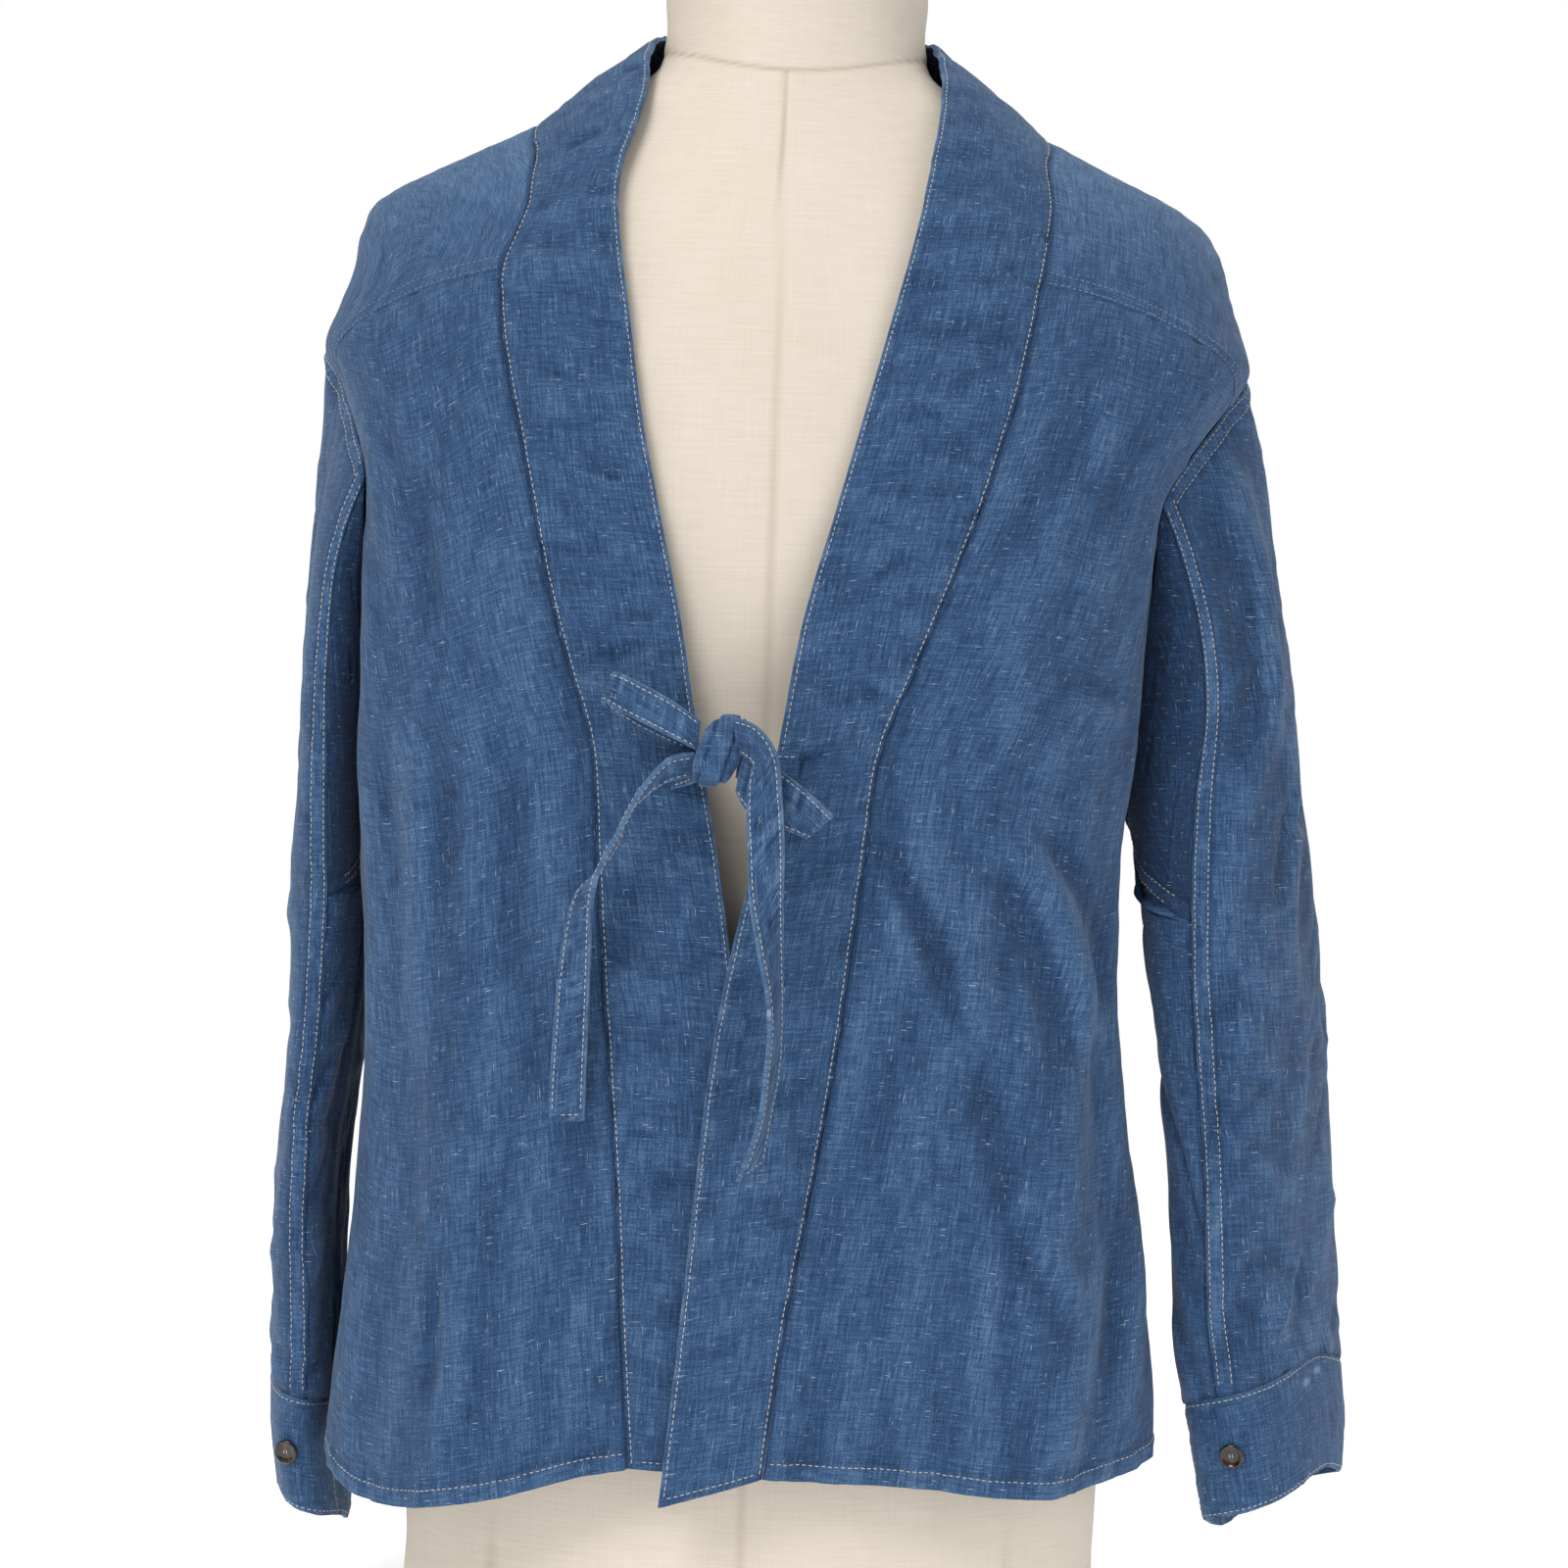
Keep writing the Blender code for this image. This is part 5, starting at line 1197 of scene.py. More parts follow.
def add_mesh(name, vertices, faces, material, sharp=50.0):
    """A named smooth object from arrays of points and four-cornered faces."""
    mesh = bpy.data.meshes.new(name)
    mesh.vertices.add(len(vertices))
    mesh.vertices.foreach_set("co", np.asarray(vertices, dtype=np.float32).ravel())
    faces = np.asarray(faces, dtype=np.int32)
    sides = faces.shape[1]
    mesh.loops.add(faces.size)
    mesh.loops.foreach_set("vertex_index", faces.ravel())
    mesh.polygons.add(len(faces))
    mesh.polygons.foreach_set("loop_start", np.arange(0, faces.size, sides, dtype=np.int32))
    mesh.update(calc_edges=True)
    mesh.validate()
    mesh.shade_smooth()
    mesh.set_sharp_from_angle(angle=math.radians(sharp))
    mesh.materials.append(material)
    item = bpy.data.objects.new(name, mesh)
    bpy.context.scene.collection.objects.link(item)
    return item


def line_inside(points, edge, distance):
    """The line that runs at a distance inside one edge of a grid, and the outward directions there."""
    normal = grid_normals(points)
    if edge in ("low_row", "high_row"):
        points = points.transpose(1, 0, 2)
        normal = normal.transpose(1, 0, 2)
    if edge in ("high_column", "high_row"):
        points = points[:, ::-1]
        normal = normal[:, ::-1]
    lengths = np.zeros(points.shape[:2])
    lengths[:, 1:] = np.cumsum(np.linalg.norm(np.diff(points, axis=1), axis=-1), axis=1)
    column = np.clip((lengths < distance).sum(axis=1) - 1, 0, points.shape[1] - 2)
    rows = np.arange(len(points))
    low = lengths[rows, column]
    high = lengths[rows, column + 1]
    share = np.clip((distance - low) / np.maximum(high - low, 1e-9), 0.0, 1.0)[:, None]
    line = points[rows, column] * (1 - share) + points[rows, column + 1] * share
    out = normal[rows, column] * (1 - share) + normal[rows, column + 1] * share
    return line, out


def cut_line(line, out, start, end):
    """The part of a line between two distances from its first point; a negative end counts back."""
    lengths = np.concatenate([[0.0], np.cumsum(np.linalg.norm(np.diff(line, axis=0), axis=-1))])
    total = lengths[-1]
    stop = total + end if end <= 0 else min(end, total)
    places = np.arange(start, max(stop, start + 0.001), 0.001)
    found = np.stack([np.interp(places, lengths, line[:, axis]) for axis in range(3)], axis=-1)
    facing = np.stack([np.interp(places, lengths, out[:, axis]) for axis in range(3)], axis=-1)
    return found, facing / np.maximum(np.linalg.norm(facing, axis=-1, keepdims=True), 1e-9)


def stitch_arrays(line, out, seed):
    """Points and faces of a row of stitches lying on a line."""
    rng = np.random.default_rng(seed)
    lengths = np.concatenate([[0.0], np.cumsum(np.linalg.norm(np.diff(line, axis=0), axis=-1))])
    count = max(int(lengths[-1] / STITCH_PITCH), 1)
    middles = (np.arange(count) + 0.5) * STITCH_PITCH + rng.normal(0.0, 0.00008, count)
    sides = 5
    shape = np.array([-0.5, -0.36, 0.0, 0.36, 0.5])
    girth = np.array([0.25, 0.8, 1.0, 0.8, 0.25])
    sink = np.array([-0.9, 0.1, 0.45, 0.1, -0.9])
    places = middles[:, None] + shape[None] * STITCH_LENGTH
    core = np.stack([np.interp(places, lengths, line[:, axis]) for axis in range(3)], axis=-1)
    facing = np.stack([np.interp(places, lengths, out[:, axis]) for axis in range(3)], axis=-1)
    facing = facing / np.maximum(np.linalg.norm(facing, axis=-1, keepdims=True), 1e-9)
    run = core[:, -1] - core[:, 0]
    run = run / np.maximum(np.linalg.norm(run, axis=-1, keepdims=True), 1e-9)
    aside = np.cross(run[:, None], facing)
    aside = aside / np.maximum(np.linalg.norm(aside, axis=-1, keepdims=True), 1e-9)
    turns = np.arange(sides) * 2 * math.pi / sides
    core = core + facing * (sink * STITCH_RADIUS)[None, :, None]
    ring = (np.cos(turns)[:, None] * aside[:, :, None] + np.sin(turns)[:, None] * facing[:, :, None])
    vertices = core[:, :, None] + ring * (girth * STITCH_RADIUS)[None, :, None, None]
    index = np.arange(count * 5 * sides).reshape(count, 5, sides)
    low = index[:, :-1]
    high = index[:, 1:]
    faces = np.stack([low, np.roll(low, -1, axis=2), np.roll(high, -1, axis=2), high], axis=-1)
    return vertices.reshape(-1, 3), faces.reshape(-1, 4)


def add_stitches(name, rows, material):
    """All the stitch rows of one piece as one joined mesh."""
    vertices = []
    faces = []
    base = 0
    for seed, (line, out) in enumerate(rows):
        found, quads = stitch_arrays(line, out, seed + len(name))
        vertices.append(found)
        faces.append(quads + base)
        base += len(found)
    item = add_mesh(name, np.concatenate(vertices), np.concatenate(faces), material, sharp=80.0)
    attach(item, "root")
    return item


def edge_row(points, edge, distance, start=0.002, end=-0.002, sign=1.0):
    """A stitch row at a distance inside an edge, ready for add_stitches."""
    line, out = line_inside(points, edge, distance)
    return cut_line(line, out * sign, start, end)


def front_facing(normal):
    """How far a cloth faces the front, from 0 to 1."""
    return soft_step(-normal[..., 1] * 2.0)


def body_extra(points, normal, seed):
    """Creases of the jacket's body: the placed ones seen from the front and the back, and slow waves."""
    along, up = grid_lengths(points)
    extra = table_creases(FRONT_CREASES, points[..., 0], points[..., 2]) * front_facing(normal)
    behind = soft_step(normal[..., 1] * 2.0)
    extra = extra + table_creases(BACK_CREASES, points[..., 0], points[..., 2]) * behind
    free = soft_step((0.66 - points[..., 2]) / 0.12)
    extra = extra + drape_waves(along, up, 0.046, 4.0, DRAPE_DEPTH, seed) * free
    extra = extra + drape_waves(along, up, 0.017, 2.2, RIPPLE_DEPTH, seed + 1)
    return extra


def make_body_pieces(denim, thread, fine_thread):
    """Back, yoke and fronts."""
    pieces = {}
    specs = [
        ("back_panel", back_grid(), {"high_row": SEAM_GAP, "low_column": SEAM_GAP, "high_column": SEAM_GAP},
         {"low_row": "hem", "high_row": "ditch", "low_column": "seam", "high_column": "seam"}),
        ("yoke", yoke_grid(), {"low_row": SEAM_GAP, "high_row": SEAM_GAP, "low_column": SEAM_GAP},
         {"low_row": "flat", "high_row": "flat", "low_column": "ditch", "high_column": "flat"}),
    ]
    for side in ("left", "right"):
        specs.append(("front_" + side, front_grid(side),
                      {"high_row": SEAM_GAP, "low_column": SEAM_GAP, "high_column": SEAM_GAP},
                      {"low_row": "hem", "high_row": "flat", "low_column": "ditch", "high_column": "ditch"}))
    for seed, (name, grid, cuts, edges) in enumerate(specs):
        points = trim(body_point(grid[..., 0], grid[..., 1]), **cuts)
        normal = body_normal(grid[..., 0], grid[..., 1])
        extra = body_extra(points, normal, 31 + seed * 5)
        outer, seams_wear_and_painted_light, lengths = dress(points, normal, edges, extra, 100 + seed * 50)
        # Painted light: the cloth paler towards the shoulders, as if lit from above.
        painted_shoulder_light = soft_step((points[..., 2] - SHOULDER_LOW) / SHOULDER_FADE)
        seams_wear_and_painted_light = seams_wear_and_painted_light + SHOULDER_PAINTED_LIGHT * painted_shoulder_light
        item = cloth_shell("cloth_" + name, outer, outer - normal * CLOTH, seams_wear_and_painted_light, lengths, denim, [name])
        pieces[name] = (item, outer)
    rows = [edge_row(pieces["back_panel"][1], "low_row", HEM_STRIP)]
    for distance in (BODY_SEAM_ROW, SEAM_STRIP):
        rows.append(edge_row(pieces["back_panel"][1], "low_column", distance))
        rows.append(edge_row(pieces["back_panel"][1], "high_column", distance))
    add_stitches("stitches_back_panel", rows, thread)
    rows = []
    for distance in (BODY_SEAM_ROW, YOKE_SECOND_ROW):
        rows.append(edge_row(pieces["yoke"][1], "low_row", distance))
        rows.append(edge_row(pieces["yoke"][1], "high_row", distance))
    rows.append(edge_row(pieces["yoke"][1], "high_column", EDGE_ROW))
    add_stitches("stitches_yoke", rows, fine_thread)
    for side in ("left", "right"):
        outer = pieces["front_" + side][1]
        sign = 1.0 if side == "left" else -1.0
        add_stitches("stitches_front_" + side, [edge_row(outer, "low_row", HEM_STRIP, sign=sign)], thread)
    return pieces


def make_band_piece(side, material, thread):
    """One band with its puckers, a stitch row along each long edge and one across its bottom."""
    points, normal = band_grid(side)
    points = trim(points, high_column=SEAM_GAP)
    along, up = grid_lengths(points)
    extra = table_creases(BAND_CREASES, points[..., 0], points[..., 2]) * front_facing(normal)
    seed = 211 if side == "left" else 307
    extra = extra + scattered_puckers(along, up, 0.0115, 0.0, 0.012, BAND_PUCKER_DEPTH, seed)
    extra = extra + drape_waves(up, along, 0.034, 3.0, BAND_WAVE_DEPTH, seed + 3)
    outer, seams_wear_and_painted_light, lengths = dress(points, normal, {"low_column": "edge", "high_column": "ditch"}, extra, seed)
    inner = outer - normal * BAND_CLOTH
    centre_back = -1 if side == "right" else 0
    for grid in (outer, inner):
        grid[centre_back, :, 0] = SEAM_GAP / 2 if side == "left" else -SEAM_GAP / 2
    item = cloth_shell("cloth_band_" + side, outer, inner, seams_wear_and_painted_light, lengths, material, ["band_" + side])
    rows = [edge_row(outer, edge, EDGE_ROW, sign=-1.0) for edge in ("low_column", "high_column")]
    bottom = "low_row" if side == "right" else "high_row"
    rows.append(edge_row(outer, bottom, 0.0035, start=0.003, end=-0.003, sign=-1.0))
    add_stitches("stitches_band_" + side, rows, thread)
    return item


def straight_lengths(points, girth):
    """The cloth's lengths on a tube: even steps round it, and its height."""
    along = np.linspace(0.0, girth, points.shape[1])[None, :]
    return np.stack([along + 0 * points[..., 2], points[..., 2]], axis=-1)


def sleeve_extra(side, points, seed):
    """Creases of a sleeve: the placed ones in its own angle and height, and small puckers."""
    centre, _, _, outward, forward = tube_axes(side, points[..., 2])
    flat = points[..., :2] - centre
    turn = np.degrees(np.arctan2((flat * forward).sum(axis=-1), (flat * outward).sum(axis=-1)))
    around_tube = np.mod(turn + 180.0, 360.0) * SLEEVE_GIRTH / 360.0
    along, up = grid_lengths(points)
    extra = np.zeros(points.shape[:2])
    table = LEFT_SLEEVE_CREASES if side == "left" else RIGHT_SLEEVE_CREASES
    for a0, z0, a1, z1, a2, z2, half_width, depth in table:
        corners = ((a0, z0), (a1, z1), (a2, z2))
        spots = [((angle + 180.0) * SLEEVE_GIRTH / 360.0, height) for angle, height in corners]
        extra = extra + crease_height(around_tube, points[..., 2], *spots, half_width, depth)
    extra = extra + scattered_puckers(along, up, 0.030, 30.0, 0.024, SLEEVE_PUCKER_DEPTH, seed)
    extra = extra + scattered_puckers(along, up, 0.034, -35.0, 0.028, SLEEVE_PUCKER_DEPTH, seed + 1)
    extra = extra + drape_waves(along, up, 0.040, 3.0, DRAPE_DEPTH, seed + 2)
    return extra


def make_sleeve_pieces(side, denim, deep, thread):
    """A sleeve and its gusset with felled seams."""
    sleeve = sleeve_points(side)
    gusset = gusset_points(side)
    sleeve_normal = facing_out(sleeve, side, -1.0)
    gusset_normal = facing_out(gusset, side, 1.0)
    upper = slice(0, GUSSET_ROWS + 1)
    lower = slice(GUSSET_ROWS, None)
    share_normals(sleeve_normal, (upper, 0), gusset_normal, (slice(None), 0))
    share_normals(sleeve_normal, (upper, -1), gusset_normal, (slice(None), -1))
    share_normals(sleeve_normal, (lower, 0), sleeve_normal, (lower, -1))
    sleeve = trim(sleeve, low_row=SEAM_GAP, high_row=SEAM_GAP, low_column=SEAM_GAP, high_column=SEAM_GAP)
    gusset = trim(gusset[:-1], low_row=SEAM_GAP, low_column=SEAM_GAP, high_column=GUSSET_BACK_GAP)
    gusset_normal = gusset_normal[:-1]
    seed = 411 if side == "left" else 457
    extra = sleeve_extra(side, sleeve, seed)
    edges = {"low_row": "seam", "low_column": "seam", "high_column": "ditch", "high_row": "ditch"}
    outer, seams_wear_and_painted_light, lengths = dress(sleeve, sleeve_normal, edges, extra, seed)
    lengths = straight_lengths(sleeve, SLEEVE_GIRTH)
    item = cloth_shell("cloth_sleeve_" + side, outer, outer - sleeve_normal * CLOTH, seams_wear_and_painted_light, lengths, denim,
                       ["sleeve_" + side])
    sign = -1.0 if side == "left" else 1.0
    rows = []
    for distance in (SLEEVE_SEAM_ROW, SEAM_STRIP):
        rows.append(edge_row(outer, "low_column", distance, start=0.004, sign=sign))
        rows.append(edge_row(outer, "low_row", distance, start=0.010, end=-0.012, sign=sign))
    add_stitches("stitches_sleeve_" + side, rows, thread)
    along, up = grid_lengths(gusset)
    extra = scattered_puckers(along, up, 0.016, 20.0, 0.014, GUSSET_PUCKER_DEPTH, seed + 9)
    edges = {"high_column": "seam", "low_column": "ditch", "low_row": "ditch"}
    outer, seams_wear_and_painted_light, lengths = dress(gusset, gusset_normal, edges, extra, seed + 20)
    # Painted shade: the whole gusset darker, as if in shadow between body and sleeve.
    seams_wear_and_painted_light = seams_wear_and_painted_light - GUSSET_PAINTED_SHADE
    lengths = straight_lengths(gusset, GUSSET_GIRTH)
    cloth_shell("cloth_gusset_" + side, outer, outer - gusset_normal * CLOTH, seams_wear_and_painted_light, lengths, deep,
                ["gusset_" + side])
    rows = [edge_row(outer, "high_column", distance, start=0.004, end=-0.012, sign=-sign)
            for distance in (SLEEVE_SEAM_ROW, SEAM_STRIP)]
    add_stitches("stitches_gusset_" + side, rows, thread)
    return item


def make_cuff_piece(side, material, thread):
    """A cuff with stitches along three edges and, on the left one, pale worn spots."""
    points, behind = cuff_points(side)
    normal = facing_out(points, side, -1.0)
    points = points - normal * (CUFF_OVERLAP_STEP * behind)[None, :, None]
    along, up = grid_lengths(points)
    seed = 511 if side == "left" else 557
    extra = scattered_puckers(along, up, 0.014, 80.0, 0.012, CUFF_PUCKER_DEPTH, seed)
    edges = {"low_row": "edge", "high_row": "edge", "low_column": "edge", "high_column": "edge"}
    outer, seams_wear_and_painted_light, lengths = dress(points, normal, edges, extra, seed)
    if side == "left":
        for across, height in CUFF_SPOTS:
            apart = np.hypot(outer[..., 0] - across, outer[..., 2] - height)
            seams_wear_and_painted_light = seams_wear_and_painted_light + CUFF_SPOT_PALENESS * np.exp(-(apart / CUFF_SPOT_SIZE) ** 2) * front_facing(normal)
    item = cloth_shell("cloth_cuff_" + side, outer, outer - normal * CUFF_CLOTH, seams_wear_and_painted_light, lengths, material,
                       ["cuff_" + side])
    sign = -1.0 if side == "left" else 1.0
    rows = [edge_row(outer, "low_row", EDGE_ROW, sign=sign)]
    rows += [edge_row(outer, edge, CUFF_ROW, sign=sign) for edge in ("high_row", "low_column")]
    add_stitches("stitches_cuff_" + side, rows, thread)
    return item


def make_ribbon(name, rows, material, thread):
    """A tie with puckers across it and stitches along both edges on both faces."""
    places = np.arange((len(rows) - 1) * TIE_STEPS + 1) / TIE_STEPS
    edges = read_rows(rows, places)
    share = np.linspace(0.0, 1.0, TIE_COLUMNS + 1)[None, :, None]
    points = edges[:, None, :3] * (1 - share) + edges[:, None, 3:] * share
    normal = grid_normals(points)
    along, up = grid_lengths(points)
    seed = sum(ord(letter) for letter in name)
    extra = scattered_puckers(along, up, 0.006, 0.0, 0.007, TIE_PUCKER_DEPTH, seed)
    bulge = 0.00012 * np.sin(math.pi * share[..., 0])
    half = normal * TIE_CLOTH / 2
    outer = points + half + normal * (extra + bulge)[..., None]
    inner = points - half + normal * (extra - bulge)[..., None]
    distance = np.minimum(along, along[:, -1:] - along)
    # Paler along both edges, with painted light on pucker ridges and painted shade in their troughs.
    seams_wear_and_painted_light = 0.45 * np.exp(-(distance / 0.0012) ** 2) + np.clip(extra / 0.0006, -0.4, 0.4)
    item = cloth_shell("cloth_" + name, outer, inner, seams_wear_and_painted_light, np.stack([along, up], axis=-1), material, [name])
    stitches = []
    for grid, sign in ((outer, 1.0), (inner, -1.0)):
        for edge in ("low_column", "high_column"):
            stitches.append(edge_row(grid, edge, TIE_ROW, start=0.0015, end=-0.0025, sign=sign))
    if "tail" in name:
        stitches.append(edge_row(outer, "high_row", TIE_END_ROW))
        stitches.append(edge_row(inner, "high_row", TIE_END_ROW, sign=-1.0))
    add_stitches("stitches_" + name, stitches, thread)
    return item


def make_knot_piece(material):
    """The knot with the grooves of its wrapped cloth, and painted shade in the grooves."""
    columns = 64
    rows = 40
    turn = np.linspace(0.0, 2 * math.pi, columns + 1)[None, :-1]
    rise = np.linspace(-math.pi / 2, math.pi / 2, rows + 1)[:, None]
    level = np.cos(rise)
    shape = np.stack([level * np.cos(turn), level * np.sin(turn), np.sin(rise) + 0 * turn], axis=-1)
    groove = 1 - 0.10 * np.exp(-((shape[..., 0] - 0.38) / 0.07) ** 2)
    groove = groove - 0.08 * np.exp(-((shape[..., 0] + 0.45) / 0.08) ** 2)
    groove = groove + 0.02 * np.sin(shape[..., 2] * 9.0 + shape[..., 0] * 3.0)
    points = np.sign(shape) * np.abs(shape) ** 0.75 * np.array(KNOT_HALF_SIZE) * groove[..., None]
    points[..., 0] += points[..., 2] * KNOT_LEAN
    points = points + np.array(KNOT_CENTRE)
    index = np.arange((rows + 1) * columns).reshape(rows + 1, columns)
    after = np.roll(index, -1, axis=1)
    faces = np.stack([index[:-1], after[:-1], after[1:], index[1:]], axis=-1).reshape(-1, 4)
    item = add_mesh("knot", points.reshape(-1, 3), faces, material, sharp=80.0)
    layer = item.data.uv_layers.new(name="cloth")
    corners = np.empty(len(item.data.loops), dtype=np.int32)
    item.data.loops.foreach_get("vertex_index", corners)
    flat = points.reshape(-1, 3)[corners][:, [0, 2]]
    layer.data.foreach_set("uv", flat.astype(np.float32).ravel())
    attribute = item.data.attributes.new(name="seams_wear_and_painted_light", type="FLOAT", domain="POINT")
    # Painted shade in the grooves and painted light on the wraps between them.
    tone_with_painted_light = ((groove - 0.97) * 6.0).ravel()
    attribute.data.foreach_set("value", tone_with_painted_light.astype(np.float32))
    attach(item, "root")
    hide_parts("tie_knot")
    return item


def make_form_piece(linen):
    """The form in linen with its neck, centre and side seams."""
    angles = np.arange(FORM_COLUMNS) * 2 * math.pi / FORM_COLUMNS
    table = np.array(FORM_SECTIONS)
    spans = zip(table[:-1, 0], table[1:, 0])
    heights = np.concatenate([np.linspace(low, high, FORM_STEPS, endpoint=False) for low, high in spans])
    heights = np.append(heights, table[-1, 0])
    values = [read_table(FORM_SECTIONS, column, heights)[:, None] for column in range(1, 5)]
    radius = ring_radius(angles[None], *values)
    points = around(angles[None] + 0 * heights[:, None], radius, heights[:, None] + 0 * angles[None])
    across = points[..., 0]
    up = points[..., 2]
    facing = np.cos(angles)[None] > 0
    seam = np.zeros(points.shape[:2])
    neck = NECK_SEAM_HEIGHT + NECK_SEAM_DIP * (1 - (across / 0.066) ** 2)
    seam = seam + np.exp(-((up - neck) / 0.0011) ** 2)
    seam = seam + np.exp(-((across - FORM_CENTRE_SEAM) / 0.0011) ** 2) * (up < neck)
    for place in FORM_SIDE_SEAMS:
        bowed = place * (1 + 0.5 * (up - 0.2) ** 2)
        seam = seam + np.exp(-((across - bowed) / 0.0012) ** 2) * facing * (up < 0.60)
    outward = points.copy()
    outward[..., 2] = 0
    outward = outward / np.maximum(np.linalg.norm(outward, axis=-1, keepdims=True), 1e-9)
    points = points - outward * (0.0006 * seam)[..., None]
    index = np.arange(len(heights) * FORM_COLUMNS).reshape(len(heights), FORM_COLUMNS)
    after = np.roll(index, -1, axis=1)
    faces = np.stack([index[:-1], after[:-1], after[1:], index[1:]], axis=-1).reshape(-1, 4)
    flat = points.reshape(-1, 3)
    caps = np.array([[0.0, 0.0, heights[0]], [0.0, 0.0, heights[-1]]])
    base = len(flat)
    low_cap = np.stack([after[0], index[0], np.full(FORM_COLUMNS, base)], axis=-1)
    high_cap = np.stack([index[-1], after[-1], np.full(FORM_COLUMNS, base + 1)], axis=-1)
    item = add_closed_form("form", np.concatenate([flat, caps]), faces, low_cap, high_cap, linen)
    layer = item.data.uv_layers.new(name="cloth")
    corners = np.empty(len(item.data.loops), dtype=np.int32)
    item.data.loops.foreach_get("vertex_index", corners)
    every = np.concatenate([flat, caps])[corners]
    turned = np.arctan2(every[:, 0], -every[:, 1]) * 0.16
    layer.data.foreach_set("uv", np.stack([turned, every[:, 2]], axis=-1).astype(np.float32).ravel())
    attribute = item.data.attributes.new(name="seams_wear_and_painted_light", type="FLOAT", domain="POINT")
    attribute.data.foreach_set("value", np.concatenate([seam.ravel(), [0.0, 0.0]]).astype(np.float32))
    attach(item, "root")
    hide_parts("dress_form")
    return item


def add_closed_form(name, vertices, quads, low_cap, high_cap, material):
    """A named smooth object from quads and two fans."""
    mesh = bpy.data.meshes.new(name)
    faces = [tuple(int(v) for v in face) for face in quads]
    faces += [tuple(int(v) for v in face) for face in low_cap]
    faces += [tuple(int(v) for v in face) for face in high_cap]
    mesh.from_pydata([tuple(point) for point in vertices], [], faces)
    mesh.shade_smooth()
    mesh.set_sharp_from_angle(angle=math.radians(50.0))
    mesh.materials.append(material)
    item = bpy.data.objects.new(name, mesh)
    bpy.context.scene.collection.objects.link(item)
    return item


def button_place(side):
    """Seat, outward, upward and sideways directions of a cuff's button."""
    angle = PLACKET_ANGLE[side] - BUTTON_ANGLE_STEP
    height = float(cuff_seam_height(side, angle)) - CUFF_HEIGHT / 2
    middle = tube_point(side, np.array(angle), np.array(height))
    ahead = tube_point(side, np.array(angle + 4.0), np.array(height))
    above = tube_point(side, np.array(angle), np.array(height + 0.004))
    outward = np.cross(ahead - middle, above - middle)
    outward = outward / np.linalg.norm(outward)
    if np.dot(outward[:2], middle[:2] - tube_axes(side, np.array(height))[0]) < 0:
        outward = -outward
    upward = above - middle
    upward = upward / np.linalg.norm(upward)
    return middle + outward * SEAM_GAP, outward, upward, np.cross(upward, outward)


def make_button_piece(side, horn, thread):
    """A glossy dark button with a raised rim, a dished middle and its thread."""
    seat, outward, upward, aside = button_place(side)
    profile = (
        (0.0, 0.02), (0.80, 0.02), (0.93, 0.18), (1.0, 0.45), (0.985, 0.75), (0.92, 0.95), (0.84, 1.0),
        (0.76, 0.92), (0.68, 0.74), (0.45, 0.62), (0.0, 0.58),
    )
    segments = 48
    turns = np.arange(segments) * 2 * math.pi / segments
    spoke = np.cos(turns)[:, None] * aside[None] + np.sin(turns)[:, None] * upward[None]
    rings = [seat + outward * rise * BUTTON_THICKNESS + spoke * max(radius, 0.001) * BUTTON_RADIUS
             for radius, rise in profile]
    points = np.array(rings)
    index = np.arange(points.shape[0] * segments).reshape(points.shape[0], segments)
    after = np.roll(index, -1, axis=1)
    faces = np.stack([index[:-1], after[:-1], after[1:], index[1:]], axis=-1).reshape(-1, 4)
    item = add_mesh("button_face_" + side, points.reshape(-1, 3), faces, horn, sharp=80.0)
    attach(item, "root")
    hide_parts("button_" + side)
    lines = []
    for shift in (-0.0007, 0.0007):
        start = seat + outward * BUTTON_THICKNESS * 0.66 + aside * shift - upward * 0.0012
        end = start + upward * 0.0024
        line = np.stack([start + (end - start) * share for share in np.linspace(0, 1, 6)])
        lines.append((line, np.repeat(outward[None], 6, axis=0)))
    add_stitches("button_thread_" + side, lines, thread)
    return item


def node_link(tree, source, output, target, socket):
    """Join two sockets of a shader."""
    tree.links.new(source.outputs[output], target.inputs[socket])


def stretched_noise(tree, coordinates, scale, detail, roughness=0.5):
    """Noise over the cloth's lengths, with its own scale each way in waves a metre."""
    mapping = tree.nodes.new("ShaderNodeMapping")
    mapping.inputs["Scale"].default_value = (scale[0], scale[1], 1.0)
    node_link(tree, coordinates, "UV", mapping, "Vector")
    noise = tree.nodes.new("ShaderNodeTexNoise")
    noise.inputs["Scale"].default_value = 1.0
    noise.inputs["Detail"].default_value = detail
    noise.inputs["Roughness"].default_value = roughness
    node_link(tree, mapping, "Vector", noise, "Vector")
    return noise


def ranged(tree, source, output, low, high, new_low, new_high):
    """A value moved from one range to another and held there."""
    node = tree.nodes.new("ShaderNodeMapRange")
    node.inputs["From Min"].default_value = low
    node.inputs["From Max"].default_value = high
    node.inputs["To Min"].default_value = new_low
    node.inputs["To Max"].default_value = new_high
    node_link(tree, source, output, node, "Value")
    return node


def maths(tree, kind, first, second=None, value=None):
    """One arithmetic step on values."""
    node = tree.nodes.new("ShaderNodeMath")
    node.operation = kind
    tree.links.new(first.outputs[0], node.inputs[0])
    if second is not None:
        tree.links.new(second.outputs[0], node.inputs[1])
    if value is not None:
        node.inputs[1].default_value = value
    return node


